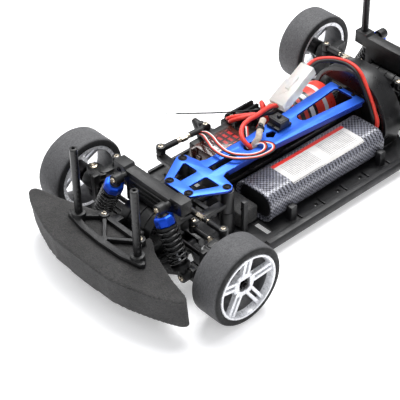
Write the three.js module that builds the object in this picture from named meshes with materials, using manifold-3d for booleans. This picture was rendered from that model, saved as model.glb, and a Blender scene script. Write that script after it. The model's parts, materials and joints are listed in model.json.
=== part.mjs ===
// A 1/10 scale four-wheel-drive on-road drift chassis, without its body shell.
// Millimetres, +Z up, ground at z = 0. The car drives towards -Y and its left side is +X.
import * as THREE from 'three';
import { mergeVertices } from 'three/addons/utils/BufferGeometryUtils.js';
import Module from 'manifold-3d';

const wasm = await Module();
wasm.setup();

// ---------------------------------------------------------------- driving dimensions
const GAP = 0.3;                 // between pieces that touch
const FRONT_AXLE_Y = -109;
const REAR_AXLE_Y = 149;
const AXLE_Z = 32;               // tyre radius
const CAR_HALF_WIDTH = 100;

const TRAY = { bottom: 6, top: 9, half: 54, lipOut: 61, lipTop: 12, front: -50, rear: 104 };
const DECK = { bottom: 49.5, top: 51.5, front: -88, rear: 98 };
const TYRE = { r: 32, inner: 26.5, x0: 74, x1: 99.6, sides: 28 };
const RIM = { r: 26.1, barrel: 23.4, x0: 75, x1: CAR_HALF_WIDTH, hub: 7, boss: 79 };

const PIN = { innerX: 22, outerX: 60, z: 14 };        // lower arm pins
const KINGPIN_X = 70;
const CAMBER = { innerX: 21, outerX: 59, y: 14, z: 50 };
const SHOCK = { topX: 24, topZ: 66, lowX: 48, lowZ: 18, y: -14 };
const STEER_ARM = { x: 67, y: 16, z0: 23.9, z1: 27.2 };
const TIE = { z: 31.6, half: 2.6 };
const LINK_HALF = 3.3;           // half the height of a link's ball end

const BELL = { x: 24.5, y: -59, arm: 34, link: 14, z0: 35.9, z1: 39.2 };
const SERVO_BALL = { x: -51.5, y: -57.5, z: 44.3 };
const HORN = { x: -53, y: -9, z: 34, ballX: -46.6, ballY: -15, ballZ: 47 };

const SHAFT = { x: 0, z: 27, r: 2.2 };
const SPUR = { r: 20.9, y0: 106, y1: 110 };
const MOTOR = { x: -28, z: 29, r: 18, front: 46, rear: 97 };
const PINION_R = 6.9;
const COVER = { x: -2, z: 27, inner: 36.5, outer: 41, front: 101.5, rear: 121 };

// ---------------------------------------------------------------- materials
const black = { color: 0x1b1b1d, roughness: 0.55, metalness: 0 };
const satin = { color: 0x141416, roughness: 0.35, metalness: 0 };
const foam = { color: 0x3f3d3e, roughness: 0.95, metalness: 0 };
const rubber = { color: 0x5c5c60, roughness: 0.85, metalness: 0 };
const silver = { color: 0xd6d8dc, roughness: 0.25, metalness: 0.8 };
const blue = { color: 0x2e6be6, roughness: 0.3, metalness: 0.9 };
const steel = { color: 0x9a9a9c, roughness: 0.3, metalness: 1 };
const red = { color: 0xd9342b, roughness: 0.4, metalness: 0.1 };
const amber = { color: 0x4a2a20, roughness: 0.3, metalness: 0 };
const wrap = { color: 0x6a6a74, roughness: 0.4, metalness: 0.1 };
const clear = { color: 0xe9e9e4, roughness: 0.4, metalness: 0 };
const ivory = { color: 0xd8d2c0, roughness: 0.6, metalness: 0 };

// ---------------------------------------------------------------- shape helpers
const car = new THREE.Group();

function toSolid(geometry) {
  const bare = geometry.index ? geometry.toNonIndexed() : geometry.clone();
  bare.deleteAttribute('normal');
  bare.deleteAttribute('uv');
  const merged = mergeVertices(bare, 1e-4);
  return new wasm.Manifold(new wasm.Mesh({
    numProp: 3,
    vertProperties: new Float32Array(merged.attributes.position.array),
    triVerts: new Uint32Array(merged.index.array),
  }));
}

function toGeometry(solid) {
  const mesh = solid.getMesh();
  const geometry = new THREE.BufferGeometry();
  geometry.setAttribute('position', new THREE.BufferAttribute(new Float32Array(mesh.vertProperties), 3));
  geometry.setIndex(new THREE.BufferAttribute(new Uint32Array(mesh.triVerts), 1));
  return geometry;
}

// Joins the first list of geometries and cuts the second list away from it.
function build(joined, cuts = []) {
  let solid = toSolid(joined[0]);
  for (const geometry of joined.slice(1)) {
    solid = solid.add(toSolid(geometry));
  }
  for (const geometry of cuts) {
    solid = solid.subtract(toSolid(geometry));
  }
  return toGeometry(solid);
}

function place(name, geometry, look, position = [0, 0, 0], parent = car) {
  const shaded = geometry.index ? geometry.toNonIndexed() : geometry;
  shaded.computeVertexNormals();
  const mesh = new THREE.Mesh(shaded, new THREE.MeshStandardMaterial(look));
  mesh.name = name;
  mesh.position.set(...position);
  parent.add(mesh);
  return mesh;
}

function box(x0, x1, y0, y1, z0, z1) {
  const geometry = new THREE.BoxGeometry(x1 - x0, y1 - y0, z1 - z0);
  return geometry.translate((x0 + x1) / 2, (y0 + y1) / 2, (z0 + z1) / 2);
}

// A round rod between two points, with a second radius for a cone.
function rod(from, to, r, sides = 12, r2 = r) {
  const a = new THREE.Vector3(...from);
  const b = new THREE.Vector3(...to);
  const geometry = new THREE.CylinderGeometry(r2, r, a.distanceTo(b), sides);
  const turn = new THREE.Quaternion();
  turn.setFromUnitVectors(new THREE.Vector3(0, 1, 0), b.clone().sub(a).normalize());
  const middle = a.clone().add(b).multiplyScalar(0.5);
  return geometry.applyQuaternion(turn).translate(middle.x, middle.y, middle.z);
}

function rodX(y, z, r, x0, x1, sides = 12) {
  return rod([x0, y, z], [x1, y, z], r, sides);
}

function rodY(x, z, r, y0, y1, sides = 12) {
  return rod([x, y0, z], [x, y1, z], r, sides);
}

function rodZ(x, y, r, z0, z1, sides = 12) {
  return rod([x, y, z0], [x, y, z1], r, sides);
}

function outline(points) {
  return new THREE.Shape(points.map(([x, y]) => new THREE.Vector2(x, y)));
}

// A flat plate of an outline in plan, with holes as further outlines.
function plate(points, z0, z1, holes = [], curveSegments = 6) {
  const shape = points instanceof THREE.Shape ? points : outline(points);
  shape.holes.push(...holes);
  const geometry = new THREE.ExtrudeGeometry(shape, { depth: z1 - z0, bevelEnabled: false, curveSegments });
  return geometry.translate(0, 0, z0);
}

// An outline drawn in X and Z, and run along Y.
function frontPlate(points, y0, y1, curveSegments = 6) {
  const shape = points instanceof THREE.Shape ? points : outline(points);
  const geometry = new THREE.ExtrudeGeometry(shape, { depth: y1 - y0, bevelEnabled: false, curveSegments });
  return geometry.rotateX(Math.PI / 2).translate(0, y1, 0);
}

// A closed profile of [radius, x] pairs turned about the X axis.
function turnedX(profile, sides) {
  const points = profile.map(([r, x]) => new THREE.Vector2(r, x));
  return new THREE.LatheGeometry(points, sides).rotateZ(-Math.PI / 2);
}

// A flat bar with round ends between two points in plan.
function bar(from, to, half, z0, z1) {
  const [ax, ay] = from;
  const [bx, by] = to;
  const angle = Math.atan2(by - ay, bx - ax);
  const shape = new THREE.Shape();
  shape.absarc(bx, by, half, angle - Math.PI / 2, angle + Math.PI / 2, false);
  shape.absarc(ax, ay, half, angle + Math.PI / 2, angle + 1.5 * Math.PI, false);
  shape.closePath();
  return plate(shape, z0, z1, [], 2);
}

function mirrored(geometry, alongX, alongY) {
  const copy = (geometry.index ? geometry.toNonIndexed() : geometry.clone());
  copy.scale(alongX, alongY, 1);
  if (alongX * alongY < 0) {
    const p = copy.attributes.position;
    for (let i = 0; i < p.count; i += 3) {
      const second = [p.getX(i + 1), p.getY(i + 1), p.getZ(i + 1)];
      p.setXYZ(i + 1, p.getX(i + 2), p.getY(i + 2), p.getZ(i + 2));
      p.setXYZ(i + 2, ...second);
    }
  }
  copy.deleteAttribute('normal');
  copy.deleteAttribute('uv');
  return copy;
}

function both(points) {
  const left = points.map(([x, y]) => [-x, y]).reverse();
  return [...points, ...left.filter(([x]) => Math.abs(x) > 1e-6)];
}

// A cord: a plain tube along a smooth curve through points chosen by hand.
function cord(points, r, steps, sides = 8) {
  const path = new THREE.CatmullRomCurve3(points.map((p) => new THREE.Vector3(...p)), false, 'centripetal');
  const section = new THREE.Shape();
  for (let i = 0; i < sides; i += 1) {
    const angle = (i / sides) * 2 * Math.PI;
    const x = r * Math.cos(angle);
    const y = r * Math.sin(angle);
    if (i === 0) section.moveTo(x, y);
    else section.lineTo(x, y);
  }
  section.closePath();
  return new THREE.ExtrudeGeometry(section, { steps, extrudePath: path, bevelEnabled: false });
}

// ---------------------------------------------------------------- chassis tray
function chassisTray() {
  const floor = plate(both([
    [18, -134], [18, -86], [32, -68], [TRAY.half, TRAY.front],
    [TRAY.half, TRAY.rear], [50, 117], [32, 128], [20, 133], [20, 176],
  ]), TRAY.bottom, TRAY.top);
  const lip = frontPlate([
    [TRAY.half - 1, TRAY.bottom], [TRAY.lipOut, TRAY.bottom], [TRAY.lipOut, TRAY.top],
    [TRAY.lipOut - 1.5, TRAY.lipTop], [TRAY.half + 1, TRAY.lipTop], [TRAY.half - 1, TRAY.top],
  ], TRAY.front + 2, TRAY.rear - 1);
  const shelf = plate([[-52, -58], [-69, -56], [-69, 44], [-60, 56], [-52, 56]], TRAY.bottom, TRAY.top);
  const shelfLip = box(-71, -68.6, -56, 44, TRAY.bottom, TRAY.lipTop);
  const joined = [floor, lip, mirrored(lip, -1, 1), shelf, shelfLip];
  const cuts = [];
  for (const side of [-1, 1]) {
    joined.push(rodZ(side * BELL.x, BELL.y, 5.5, TRAY.top - 1, 29.4, 20));
    joined.push(rodZ(side * BELL.x, BELL.y, 2.7, 29, DECK.bottom - GAP, 16));
    for (let i = 0; i < 5; i += 1) {
      const y = -12 + i * 25;
      cuts.push(box(side * 47.6 - 1.6, side * 47.6 + 1.6, y - 1.6, y + 1.6, 0, 20));
    }
    cuts.push(box(side * 39.5 - 8, side * 39.5 + 8, -39, -33, 0, 20));
  }
  cuts.push(box(-15, 15, SPUR.y0 - 2, SPUR.y1 + 2, 0, 20));
  for (const y of [-16, 84]) {
    joined.push(box(44.8, 50, y, y + 6, TRAY.top - 1, 22));
  }
  joined.push(box(33.5, 37, -53.5, -49.5, TRAY.top - 1, 40));
  joined.push(box(-46, -14, -34, -28, TRAY.top - 1, 24 - GAP));
  joined.push(box(-46, -14, -4, 2, TRAY.top - 1, 24 - GAP));
  place('chassis_tray', build(joined, cuts), black);
}

// ---------------------------------------------------------------- bumper
function bumper() {
  const half = [
    [0, -181], [30, -180.4], [46, -177], [64, -171], [77, -165.6], [84, -161.4], [86.6, -157.6],
    [85.6, -153.6], [80, -151.2], [63, -147.5], [47, -142], [33, -137], [24, -130.5], [17.5, -128.6],
    [17.5, -135], [0, -135],
  ];
  const block = plate(both(half), 15, 40);
  place('bumper_foam', build([block], [box(-27, 27, -134.4, -120, 0, 19.4)]), foam);

  const bottom = 40 + GAP;
  const top = 44;
  const joined = [plate(both([
    [0, -162], [22, -161], [40, -157.5], [42, -154], [40, -151.5], [22, -156], [0, -157],
  ]), bottom, top)];
  joined.push(bar([-20, -139.5], [20, -139.5], 2, bottom, top));
  joined.push(rodZ(0, -156, 3, bottom, top, 12));
  for (const side of [-1, 1]) {
    joined.push(rodZ(side * 33, -153, 5.5, bottom, 47));
    joined.push(rodZ(side * 33, -153, 3, bottom, 104, 10));
    joined.push(rodZ(side * 20, -139.5, 4.2, bottom, 45.5, 10));
    joined.push(bar([side * 20, -139.5], [side * 33, -153], 1.6, bottom, top));
    joined.push(bar([side * 20, -139.5], [0, -156], 1.6, bottom, top));
    joined.push(box(side * 11 - 3.5, side * 11 + 3.5, -141, -131.2, bottom, top));
  }
  place('bumper_brace', build(joined), black);
}

// ---------------------------------------------------------------- gearboxes and shock towers
// Drawn for the front, about the axle line, with +Y towards the middle of the car.
function gearboxShape() {
  const joined = [
    rodX(-3, AXLE_Z, 18.3, -17, 17, 28),
    box(-17, 17, -21, 12, TRAY.top + GAP, AXLE_Z),
    box(-10.4, 10.4, 5, 29, TRAY.top + GAP, 46),
    box(-14.5, 14.5, 11, 29, 45, DECK.bottom - GAP),
    box(-26, 26, -25, -19.7, TRAY.top + GAP, 19),
    box(-26, 26, 19.7, 25, TRAY.top + GAP, 19),
    rodX(0, AXLE_Z, 5, -20, 20, 16),
  ];
  return build(joined, [
    rodX(0, AXLE_Z, 2.8, -21, -18),
    rodX(0, AXLE_Z, 2.8, 18, 21),
    box(-30, -10.5, 10.6, 30, 25, 46.5),
    box(10.5, 30, 10.6, 30, 25, 46.5),
  ]);
}

function towerShape(posts) {
  const joined = [
    frontPlate(both([
      [0, 50.9], [16, 50.9], [25, 60], [37, 61], [37, 72], [25, 72], [24, 69.5], [0, 69.5],
    ]), -6, 4),
  ];
  for (const side of [-1, 1]) {
    joined.push(box(side * 21.2 - 3.8, side * 21.2 + 3.8, -5, 4, 42.5, 64));
    joined.push(box(side * 21.2 - 3.8, side * 21.2 + 3.8, 3, CAMBER.y + 4, 42.5, 46.2));
    joined.push(rodY(side * SHOCK.topX, SHOCK.topZ, 2.5, -9.6, -5, 12));
    if (posts) joined.push(rodZ(side * 31, -1, 3, 70, 108));
  }
  return build(joined);
}

// ---------------------------------------------------------------- suspension, drawn for the front left
function armShape() {
  const wishbone = [
    [20, -18.5], [30, -18.5], [42, -9.4], [64, -9.4], [64, 9.4], [42, 9.4], [30, 18.5], [20, 18.5],
  ];
  const joined = [
    plate(wishbone, 11.5, 16.5,
      [new THREE.Path([[27, -11], [38, -5], [38, 5], [27, 11]].map(([x, y]) => new THREE.Vector2(x, y)))]),
    rodY(PIN.innerX, PIN.z, 4, -19.3, 19.3, 12),
    rodY(PIN.outerX, PIN.z, 4, -9.4, 9.4, 12),
    box(44.5, 51.5, -9.4, -5, 14, 21.5),
  ];
  const cuts = [box(52.5, 70, -5.5, 5.5, 0, 30)];
  return build(joined, cuts);
}

function carrierShape() {
  const x = KINGPIN_X;
  const joined = [
    rodY(PIN.outerX, PIN.z, 4.2, -5, 5, 12),
    box(57.5, 62.5, -5, 5, 14, 24),
    box(58.5, 62.5, -9, 9, 21, 45),
    bar([61, 0], [x, 0], 5.5, 19.5, 23.5),
    bar([61, 0], [x, 0], 5.5, 41, 45),
    bar([60, 2], [CAMBER.outerX, CAMBER.y], 3.6, 42.3, 45.8),
  ];
  return build(joined, [rodX(0, AXLE_Z, 6.5, 50, 80, 18), box(59.5, 64, 4.8, 12, 23.6, 28.4)]);
}

function knuckleShape() {
  const joined = [
    rodX(0, AXLE_Z, 7.5, 66, 76, 20),
    rodZ(KINGPIN_X, 0, 4.6, 23.9, 40.6, 16),
    bar([69, 4], [STEER_ARM.x, STEER_ARM.y], 3.3, STEER_ARM.z0, STEER_ARM.z1),
  ];
  return build(joined, [rodX(0, AXLE_Z, 5.4, 50, 90, 18)]);
}

function uprightShape() {
  const joined = [
    rodY(PIN.outerX, PIN.z, 4.2, -5, 5, 12),
    box(57.5, 63.5, -5, 5, 14, 26),
    box(58.5, 64, -9, 9, 21, 45),
    rodX(0, AXLE_Z, 9, 60, 76, 20),
    bar([60.5, 2], [CAMBER.outerX, CAMBER.y], 3.6, 42.3, 45.8),
  ];
  return build(joined, [rodX(0, AXLE_Z, 5.4, 50, 90, 18)]);
}

// A link with round ball ends, a slim rod and a fatter hex turnbuckle in the middle.
function linkShape(from, to, end = 3.6, half = LINK_HALF) {
  const a = new THREE.Vector3(...from);
  const b = new THREE.Vector3(...to);
  const at = (t) => a.clone().lerp(b, t).toArray();
  const joined = [
    rodZ(a.x, a.y, end, a.z - half, a.z + half, 10),
    rodZ(b.x, b.y, end, b.z - half, b.z + half, 10),
    rod(at(0.06), at(0.4), 2.5, 6),
    rod(at(0.6), at(0.94), 2.5, 6),
    rod(at(0.38), at(0.62), 1.6, 6),
    rod(at(0.44), at(0.56), 2.4, 6),
  ];
  return build(joined);
}

const shockTop = new THREE.Vector3(SHOCK.topX, SHOCK.y, SHOCK.topZ);
const shockLow = new THREE.Vector3(SHOCK.lowX, SHOCK.y, SHOCK.lowZ);
const shockLength = shockTop.distanceTo(shockLow);

function alongShock(distance) {
  return shockTop.clone().lerp(shockLow, distance / shockLength).toArray();
}

function shockBodyShape() {
  const joined = [
    rodY(SHOCK.topX, SHOCK.topZ, 4, SHOCK.y - 3.6, SHOCK.y + 4, 12),
    rod(alongShock(1), alongShock(7), 3, 10),
    rod(alongShock(5), alongShock(12.5), 7.6, 12, 7.2),
    rod(alongShock(11), alongShock(33), 6, 16),
  ];
  return build(joined, [rod(alongShock(14), alongShock(35), 2, 10)]);
}

function shockRodShape() {
  const joined = [
    rod(alongShock(26), alongShock(50.5), 1.5, 8),
    rod(alongShock(43.5), alongShock(46.5), 7.4, 12),
    rod(alongShock(46), alongShock(51), 3.2, 10),
    rodY(SHOCK.lowX, SHOCK.lowZ, 4, SHOCK.y - 3.4, SHOCK.y + 4, 12),
  ];
  return build(joined);
}

// ---------------------------------------------------------------- wheels
function tyreShape() {
  const { r, inner, x0, x1 } = TYRE;
  return turnedX([
    [inner, x0], [r - 2.2, x0], [r, x0 + 3], [r, x1 - 3], [r - 2.2, x1], [inner, x1], [inner, x0],
  ], TYRE.sides);
}

function rimShape() {
  const { r, barrel, x0, x1, hub, boss } = RIM;
  const shell = turnedX([
    [barrel, x0], [r, x0], [r, x1], [r - 1.2, x1], [barrel, x1 - 3], [barrel, x0],
  ], TYRE.sides);
  const face = new THREE.Shape();
  face.absarc(0, 0, barrel + 0.6, 0, 2 * Math.PI, false);
  const pitch = (2 * Math.PI) / 5;
  for (let i = 0; i < 5; i += 1) {
    const middle = i * pitch + Math.PI / 2;
    const window = [[9.5, 0], [21.5, -0.4], [22, 0], [21.5, 0.4]].map(([radius, angle]) => new THREE.Vector2(
      radius * Math.cos(middle + angle), radius * Math.sin(middle + angle)));
    face.holes.push(new THREE.Path(window));
  }
  const disc = new THREE.ExtrudeGeometry(face, { depth: 4, bevelEnabled: false, curveSegments: TYRE.sides });
  disc.rotateY(Math.PI / 2).translate(92, 0, 0);
  const joined = [shell, disc, rodX(0, 0, hub, boss, 97, 12), rodX(0, 0, 2.5, 64, boss + 1, 8)];
  return build(joined);
}

function corner(prefix, alongX, alongY, axleY, steered) {
  const group = new THREE.Group();
  group.position.set(0, axleY, 0);
  car.add(group);
  const put = (name, geometry, look, position) => {
    place(`${prefix}_${name}`, mirrored(geometry, alongX, alongY), look, position, group);
  };
  put('arm', armShape(), black);
  if (steered) {
    put('carrier', carrierShape(), black);
    put('knuckle', knuckleShape(), black);
  } else {
    put('upright', uprightShape(), black);
  }
  const camberIn = [CAMBER.innerX, CAMBER.y, CAMBER.z];
  const camberOut = [CAMBER.outerX, CAMBER.y, CAMBER.z];
  put('camber_link', linkShape(camberIn, camberOut), black);
  put('shock_body', shockBodyShape(), black);
  put('shock_rod', shockRodShape(), steel);
  put('tyre', tyreShape(), rubber, [0, 0, AXLE_Z]);
  put('rim', rimShape(), silver, [0, 0, AXLE_Z]);
}

// ---------------------------------------------------------------- steering
function steering() {
  const tipY = BELL.y - BELL.arm;
  const linkY = BELL.y - BELL.link;
  const { z0, z1 } = BELL;
  for (const [side, name] of [[1, 'left'], [-1, 'right']]) {
    const x = side * BELL.x;
    const joined = [
      rodZ(x, BELL.y, 5.5, 29.8, DECK.bottom - GAP, 20),
      bar([x, BELL.y], [x, tipY], 3.4, z0, z1),
    ];
    if (side < 0) joined.push(bar([x, BELL.y], [SERVO_BALL.x, SERVO_BALL.y], 3.8, z0, z1));
    place(`bellcrank_${name}`, build(joined, [rodZ(x, BELL.y, 3.1, 20, 60, 16)]), black);

    const outer = [side * STEER_ARM.x, FRONT_AXLE_Y + STEER_ARM.y, TIE.z];
    place(`tie_rod_${name}`, linkShape([x, tipY, TIE.z], outer, 3.4, TIE.half), black);
  }
  const drag = build([
    bar([-BELL.x, linkY], [BELL.x, linkY], 2, z0 - 3, z0 - 0.4),
    rodZ(-BELL.x, linkY, 3, z0 - 3, z0 - 0.4, 12),
    rodZ(BELL.x, linkY, 3, z0 - 3, z0 - 0.4, 12),
  ]);
  place('drag_link', drag, black);

  const { x, y, z } = HORN;
  const horn = build([
    rodX(y, z, 6.6, x - 4, x + 3.6, 18),
    rod([x - 3.5, y, z + 1], [x - 13.5, y - 1, z + 8], 6.2, 18, 2.2),
    rod([x + 1.8, y, z], [x + 1.8, HORN.ballY, HORN.ballZ], 1.8, 8),
    rodX(HORN.ballY, HORN.ballZ, 3, x, x + 3, 12),
  ]);
  place('servo_horn', horn, black);

  const from = new THREE.Vector3(HORN.ballX, HORN.ballY, HORN.ballZ);
  const to = new THREE.Vector3(SERVO_BALL.x, SERVO_BALL.y, SERVO_BALL.z);
  const at = (t) => from.clone().lerp(to, t).toArray();
  const link = build([
    rodX(from.y, from.z, 3.8, from.x - 2.3, from.x + 2.3, 12),
    rodZ(to.x, to.y, 3.8, to.z - LINK_HALF, to.z + LINK_HALF, 12),
    rod(at(0.05), at(0.36), 2.6, 10),
    rod(at(0.34), at(0.66), 1.6, 8),
    rod(at(0.42), at(0.58), 2.5, 6),
    rod(at(0.64), at(0.94), 2.6, 10),
  ]);
  place('servo_link', link, black);
}

// ---------------------------------------------------------------- top deck
function topDeck() {
  const outlinePoints = both([
    [0, DECK.front], [11.5, DECK.front], [14.5, -86], [28.5, -62], [28.8, -58], [26, -54.5], [13, -52],
    [10.8, -47], [10.8, -5], [14.8, 48], [18.5, DECK.rear - 1], [17.5, DECK.rear], [0, DECK.rear],
  ]);
  const path = (points) => new THREE.Path(points.map(([x, y]) => new THREE.Vector2(x, y)));
  const holes = [
    path([[4.5, -79], [11, -79.5], [19.5, -63], [18.5, -61.5], [6, -61.5], [4.5, -63]]),
    path([[-4.5, -79], [-11, -79.5], [-19.5, -63], [-18.5, -61.5], [-6, -61.5], [-4.5, -63]]),
    path([[-3.2, -53], [3.2, -53], [3.2, -28], [-3.2, -28]]),
    path([[-4, 9.5], [0, 5.5], [4, 9.5], [1, 15.5], [-3, 15.5]]),
  ];
  const oblong = new THREE.Path();
  oblong.absarc(0, -13.5, 4, Math.PI, 2 * Math.PI, false);
  oblong.absarc(0, -8.5, 4, 0, Math.PI, false);
  holes.push(oblong);
  const window = new THREE.Path();
  window.absarc(0, 46, 5, Math.PI + 0.12, 2 * Math.PI - 0.12, false);
  window.lineTo(9.5, 92);
  window.lineTo(8, 94);
  window.lineTo(-8, 94);
  window.lineTo(-9.5, 92);
  holes.push(window);
  const sheet = plate(outlinePoints, DECK.bottom, DECK.top, holes, 8);
  const flange = plate([[9.3, -44], [10.8, -44], [10.8, -5], [14.8, 48], [18.3, 95], [16.8, 95],
    [13.3, 48], [9.3, -5]], DECK.bottom - 3, DECK.bottom + 0.5);
  place('top_deck', build([sheet, flange]), blue);
}

// ---------------------------------------------------------------- drive line
function driveLine() {
  const shaft = build([
    rodY(SHAFT.x, SHAFT.z, SHAFT.r, FRONT_AXLE_Y + 29.4, REAR_AXLE_Y - 29.4, 12),
    rodY(SHAFT.x, SHAFT.z, SPUR.r, SPUR.y0, SPUR.y1, 40),
  ]);
  place('centre_shaft', shaft, satin);
  const pinion = build([
    rodY(MOTOR.x, MOTOR.z, PINION_R, SPUR.y0 - 0.5, SPUR.y1 + 0.5, 24),
    rodY(MOTOR.x, MOTOR.z, 3.2, SPUR.y1, SPUR.y1 + 5, 12),
  ]);
  place('pinion', pinion, steel);

  const motor = build([
    rodY(MOTOR.x, MOTOR.z, MOTOR.r, MOTOR.front + 9, MOTOR.rear, 32),
    rodY(MOTOR.x, MOTOR.z, MOTOR.r - 0.8, MOTOR.front, MOTOR.front + 10, 32),
    rodY(MOTOR.x, MOTOR.z, 5, MOTOR.front - 3.5, MOTOR.front + 1, 12),
    rodY(MOTOR.x, MOTOR.z, 1.6, MOTOR.rear - 1, SPUR.y0 - 0.8, 10),
  ]);
  place('motor', motor, red);

  const { x, z, inner, outer, front, rear } = COVER;
  const arch = new THREE.Shape();
  arch.moveTo(x + outer, TRAY.top + GAP);
  arch.absarc(x, z, outer, 0, Math.PI, false);
  arch.lineTo(x - outer, TRAY.top + GAP);
  arch.lineTo(x - inner, TRAY.top + GAP);
  arch.absarc(x, z, inner, Math.PI, 0, true);
  arch.lineTo(x + inner, TRAY.top + GAP);
  const panel = new THREE.Shape();
  const rise = Math.asin(22.5 / (inner + 1));
  panel.absarc(x, z, inner + 1, rise, Math.PI - rise, false);
  const cover = build([
    frontPlate(arch, front, rear, 16),
    frontPlate(panel, front + 2, front + 3.6, 12),
  ]);
  place('gear_cover', cover, satin);
}

// ---------------------------------------------------------------- electronics
function roundedBlock(x0, x1, z0, z1, radius, y0, y1) {
  const shape = new THREE.Shape();
  const turn = (cx, cz, from) => shape.absarc(cx, cz, radius, from, from + Math.PI / 2, false);
  turn(x1 - radius, z1 - radius, 0);
  turn(x0 + radius, z1 - radius, Math.PI / 2);
  turn(x0 + radius, z0 + radius, Math.PI);
  turn(x1 - radius, z0 + radius, 1.5 * Math.PI);
  shape.closePath();
  return frontPlate(shape, y0, y1, 5);
}

function electronics() {
  const servo = build([
    box(-43.5, -12, -35, 3, 24, 44),
    box(-38, -35.5, -39.5, 5.6, 24, 44),
    rodX(HORN.y, HORN.z, 6, -48.6, -43, 16),
    box(-40, -30, -36.5, -34.5, 31, 37),
  ]);
  place('servo', servo, amber);

  const esc = [box(-52, -22, 6, 41, TRAY.top + GAP, 41)];
  for (let i = 0; i < 4; i += 1) {
    esc.push(box(-50 + i * 6, -48 + i * 6, 8, 39, 40, 45.5));
  }
  esc.push(box(-52, -31, 18, 22, 40, 44));
  place('esc', build(esc), black);

  const body = build([
    box(-10.5, 2.5, 18.5, 28.5, DECK.top + GAP, 59),
    box(-10.5, 2.5, 16, 31, DECK.top + GAP, 54.3),
  ]);
  place('power_switch', body, black);
  place('switch_slider', box(-5.2, -2.8, 22, 25, 59 + GAP, 62), black);

  place('battery_pack', roundedBlock(5, 44.3, 9.5, 36, 10.5, -32, 95), wrap);
  place('battery_foam', box(-9, 31, -51, -32.4, TRAY.top + GAP, 24.3), foam);

  const plug = new THREE.Group();
  plug.position.set(-24, 59, 61.5);
  plug.rotation.set(THREE.MathUtils.degToRad(25), 0, THREE.MathUtils.degToRad(4));
  car.add(plug);
  const housings = build([
    box(-7.5, 7.5, -21, 2, -4.8, 4.8),
    box(-6.6, 6.6, 0, 21, -4, 4),
    box(-2, 2, -6, 8, 4, 6),
  ]);
  place('battery_plug', housings, clear, [0, 0, 0], plug);
}

// ---------------------------------------------------------------- cords
function cords() {
  place('antenna', cord([
    [-36, 32, 46.2], [-41, 22, 47.5], [-50, 9, 47.8], [-66, -9, 47.5], [-82, -25, 47], [-87, -34, 46], [-88, -45, 43.5],
  ], 0.7, 24), black);
  place('servo_lead', cord([
    [-44, -24, 46], [-37, -27, 50], [-24, -34, 54.5], [-12, -38.5, 55.5], [1, -37, 55], [12, -27, 54.5],
    [18, -13, 54.5], [15, -1, 54.8], [8, -2, 55], [3, -7, 53.5], [0, -11, 50], [-5, -9, 46.8],
    [-13, -1, 47.2], [-20, 5, 48.4], [-25, 9.5, 46.8], [-26, 10.5, 44], [-26, 10.5, 41.4],
  ], 1.6, 40), black);
  place('battery_leads', cord([
    [28, 95.5, 25], [28, 97, 25.6], [29.5, 98.4, 29], [30.4, 98.6, 34], [27, 98.6, 44], [21.4, 98.8, 54.4],
    [14.8, 99.4, 63.6], [7, 100.5, 71], [-2, 101, 73.6], [-12, 98.5, 74.2], [-20, 92, 74.4], [-24.5, 85, 73.6],
    [-25.8, 78.7, 71.2],
  ], 1.5, 32), red);
  place('esc_leads', cord([
    [-22.2, 39, 52.7], [-20.5, 33, 51.5], [-19, 24, 55], [-19, 14, 57], [-22, 11, 56], [-26, 15, 52],
    [-27.5, 20.5, 47.5], [-27.5, 21.5, 44.5], [-27.5, 21.5, 41.4],
  ], 1.6, 24), black);
}

// ---------------------------------------------------------------- the whole car
chassisTray();
bumper();
place('front_gearbox', gearboxShape(), satin, [0, FRONT_AXLE_Y, 0]);
place('rear_gearbox', mirrored(gearboxShape(), 1, -1), satin, [0, REAR_AXLE_Y, 0]);
place('front_shock_tower', towerShape(false), black, [0, FRONT_AXLE_Y, 0]);
place('rear_shock_tower', mirrored(towerShape(true), 1, -1), black, [0, REAR_AXLE_Y, 0]);
topDeck();
driveLine();
electronics();
steering();
corner('front_left', 1, 1, FRONT_AXLE_Y, true);
corner('front_right', -1, 1, FRONT_AXLE_Y, true);
corner('rear_left', 1, -1, REAR_AXLE_Y, false);
corner('rear_right', -1, -1, REAR_AXLE_Y, false);
cords();

export default car;
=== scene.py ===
"""A 1/10 scale on-road drift chassis without its body shell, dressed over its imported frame."""
import json
import math

import bmesh
import bpy
from mathutils import Matrix, Vector, noise


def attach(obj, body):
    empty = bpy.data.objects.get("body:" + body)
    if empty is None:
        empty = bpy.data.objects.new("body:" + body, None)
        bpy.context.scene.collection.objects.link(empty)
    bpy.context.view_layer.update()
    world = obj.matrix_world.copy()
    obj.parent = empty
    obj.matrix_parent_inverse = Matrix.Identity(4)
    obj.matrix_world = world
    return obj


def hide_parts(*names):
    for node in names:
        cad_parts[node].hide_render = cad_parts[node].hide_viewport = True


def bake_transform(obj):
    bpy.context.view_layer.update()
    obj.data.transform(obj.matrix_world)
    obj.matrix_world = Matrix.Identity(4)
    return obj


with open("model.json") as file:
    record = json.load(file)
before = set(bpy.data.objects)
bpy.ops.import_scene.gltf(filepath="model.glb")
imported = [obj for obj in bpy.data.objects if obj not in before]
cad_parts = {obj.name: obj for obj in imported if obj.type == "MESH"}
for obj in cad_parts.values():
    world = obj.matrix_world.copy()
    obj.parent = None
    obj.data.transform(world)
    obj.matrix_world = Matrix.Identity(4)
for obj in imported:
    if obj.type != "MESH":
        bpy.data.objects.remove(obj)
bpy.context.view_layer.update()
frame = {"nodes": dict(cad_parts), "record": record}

MM = 0.001
FRONT_AXLE = -109
REAR_AXLE = 149
AXLE_Z = 32
DECK_TOP = 51.5
BELL_X, BELL_Y = 24.5, -59
TIE_Y, TIE_Z = -93, 31.6
KNUCKLE_X = 67
HORN_BALL = (-46.6, -15, 47)
SERVO_BALL = (-51.5, -57.5, 44.3)
HORN_AXIS = (0, -9, 34)
MOTOR_AXIS = (-28, 0, 29)
SHAFT_AXIS = (0, 0, 27)
SIDES = ((-1, "right"), (1, "left"))

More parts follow.
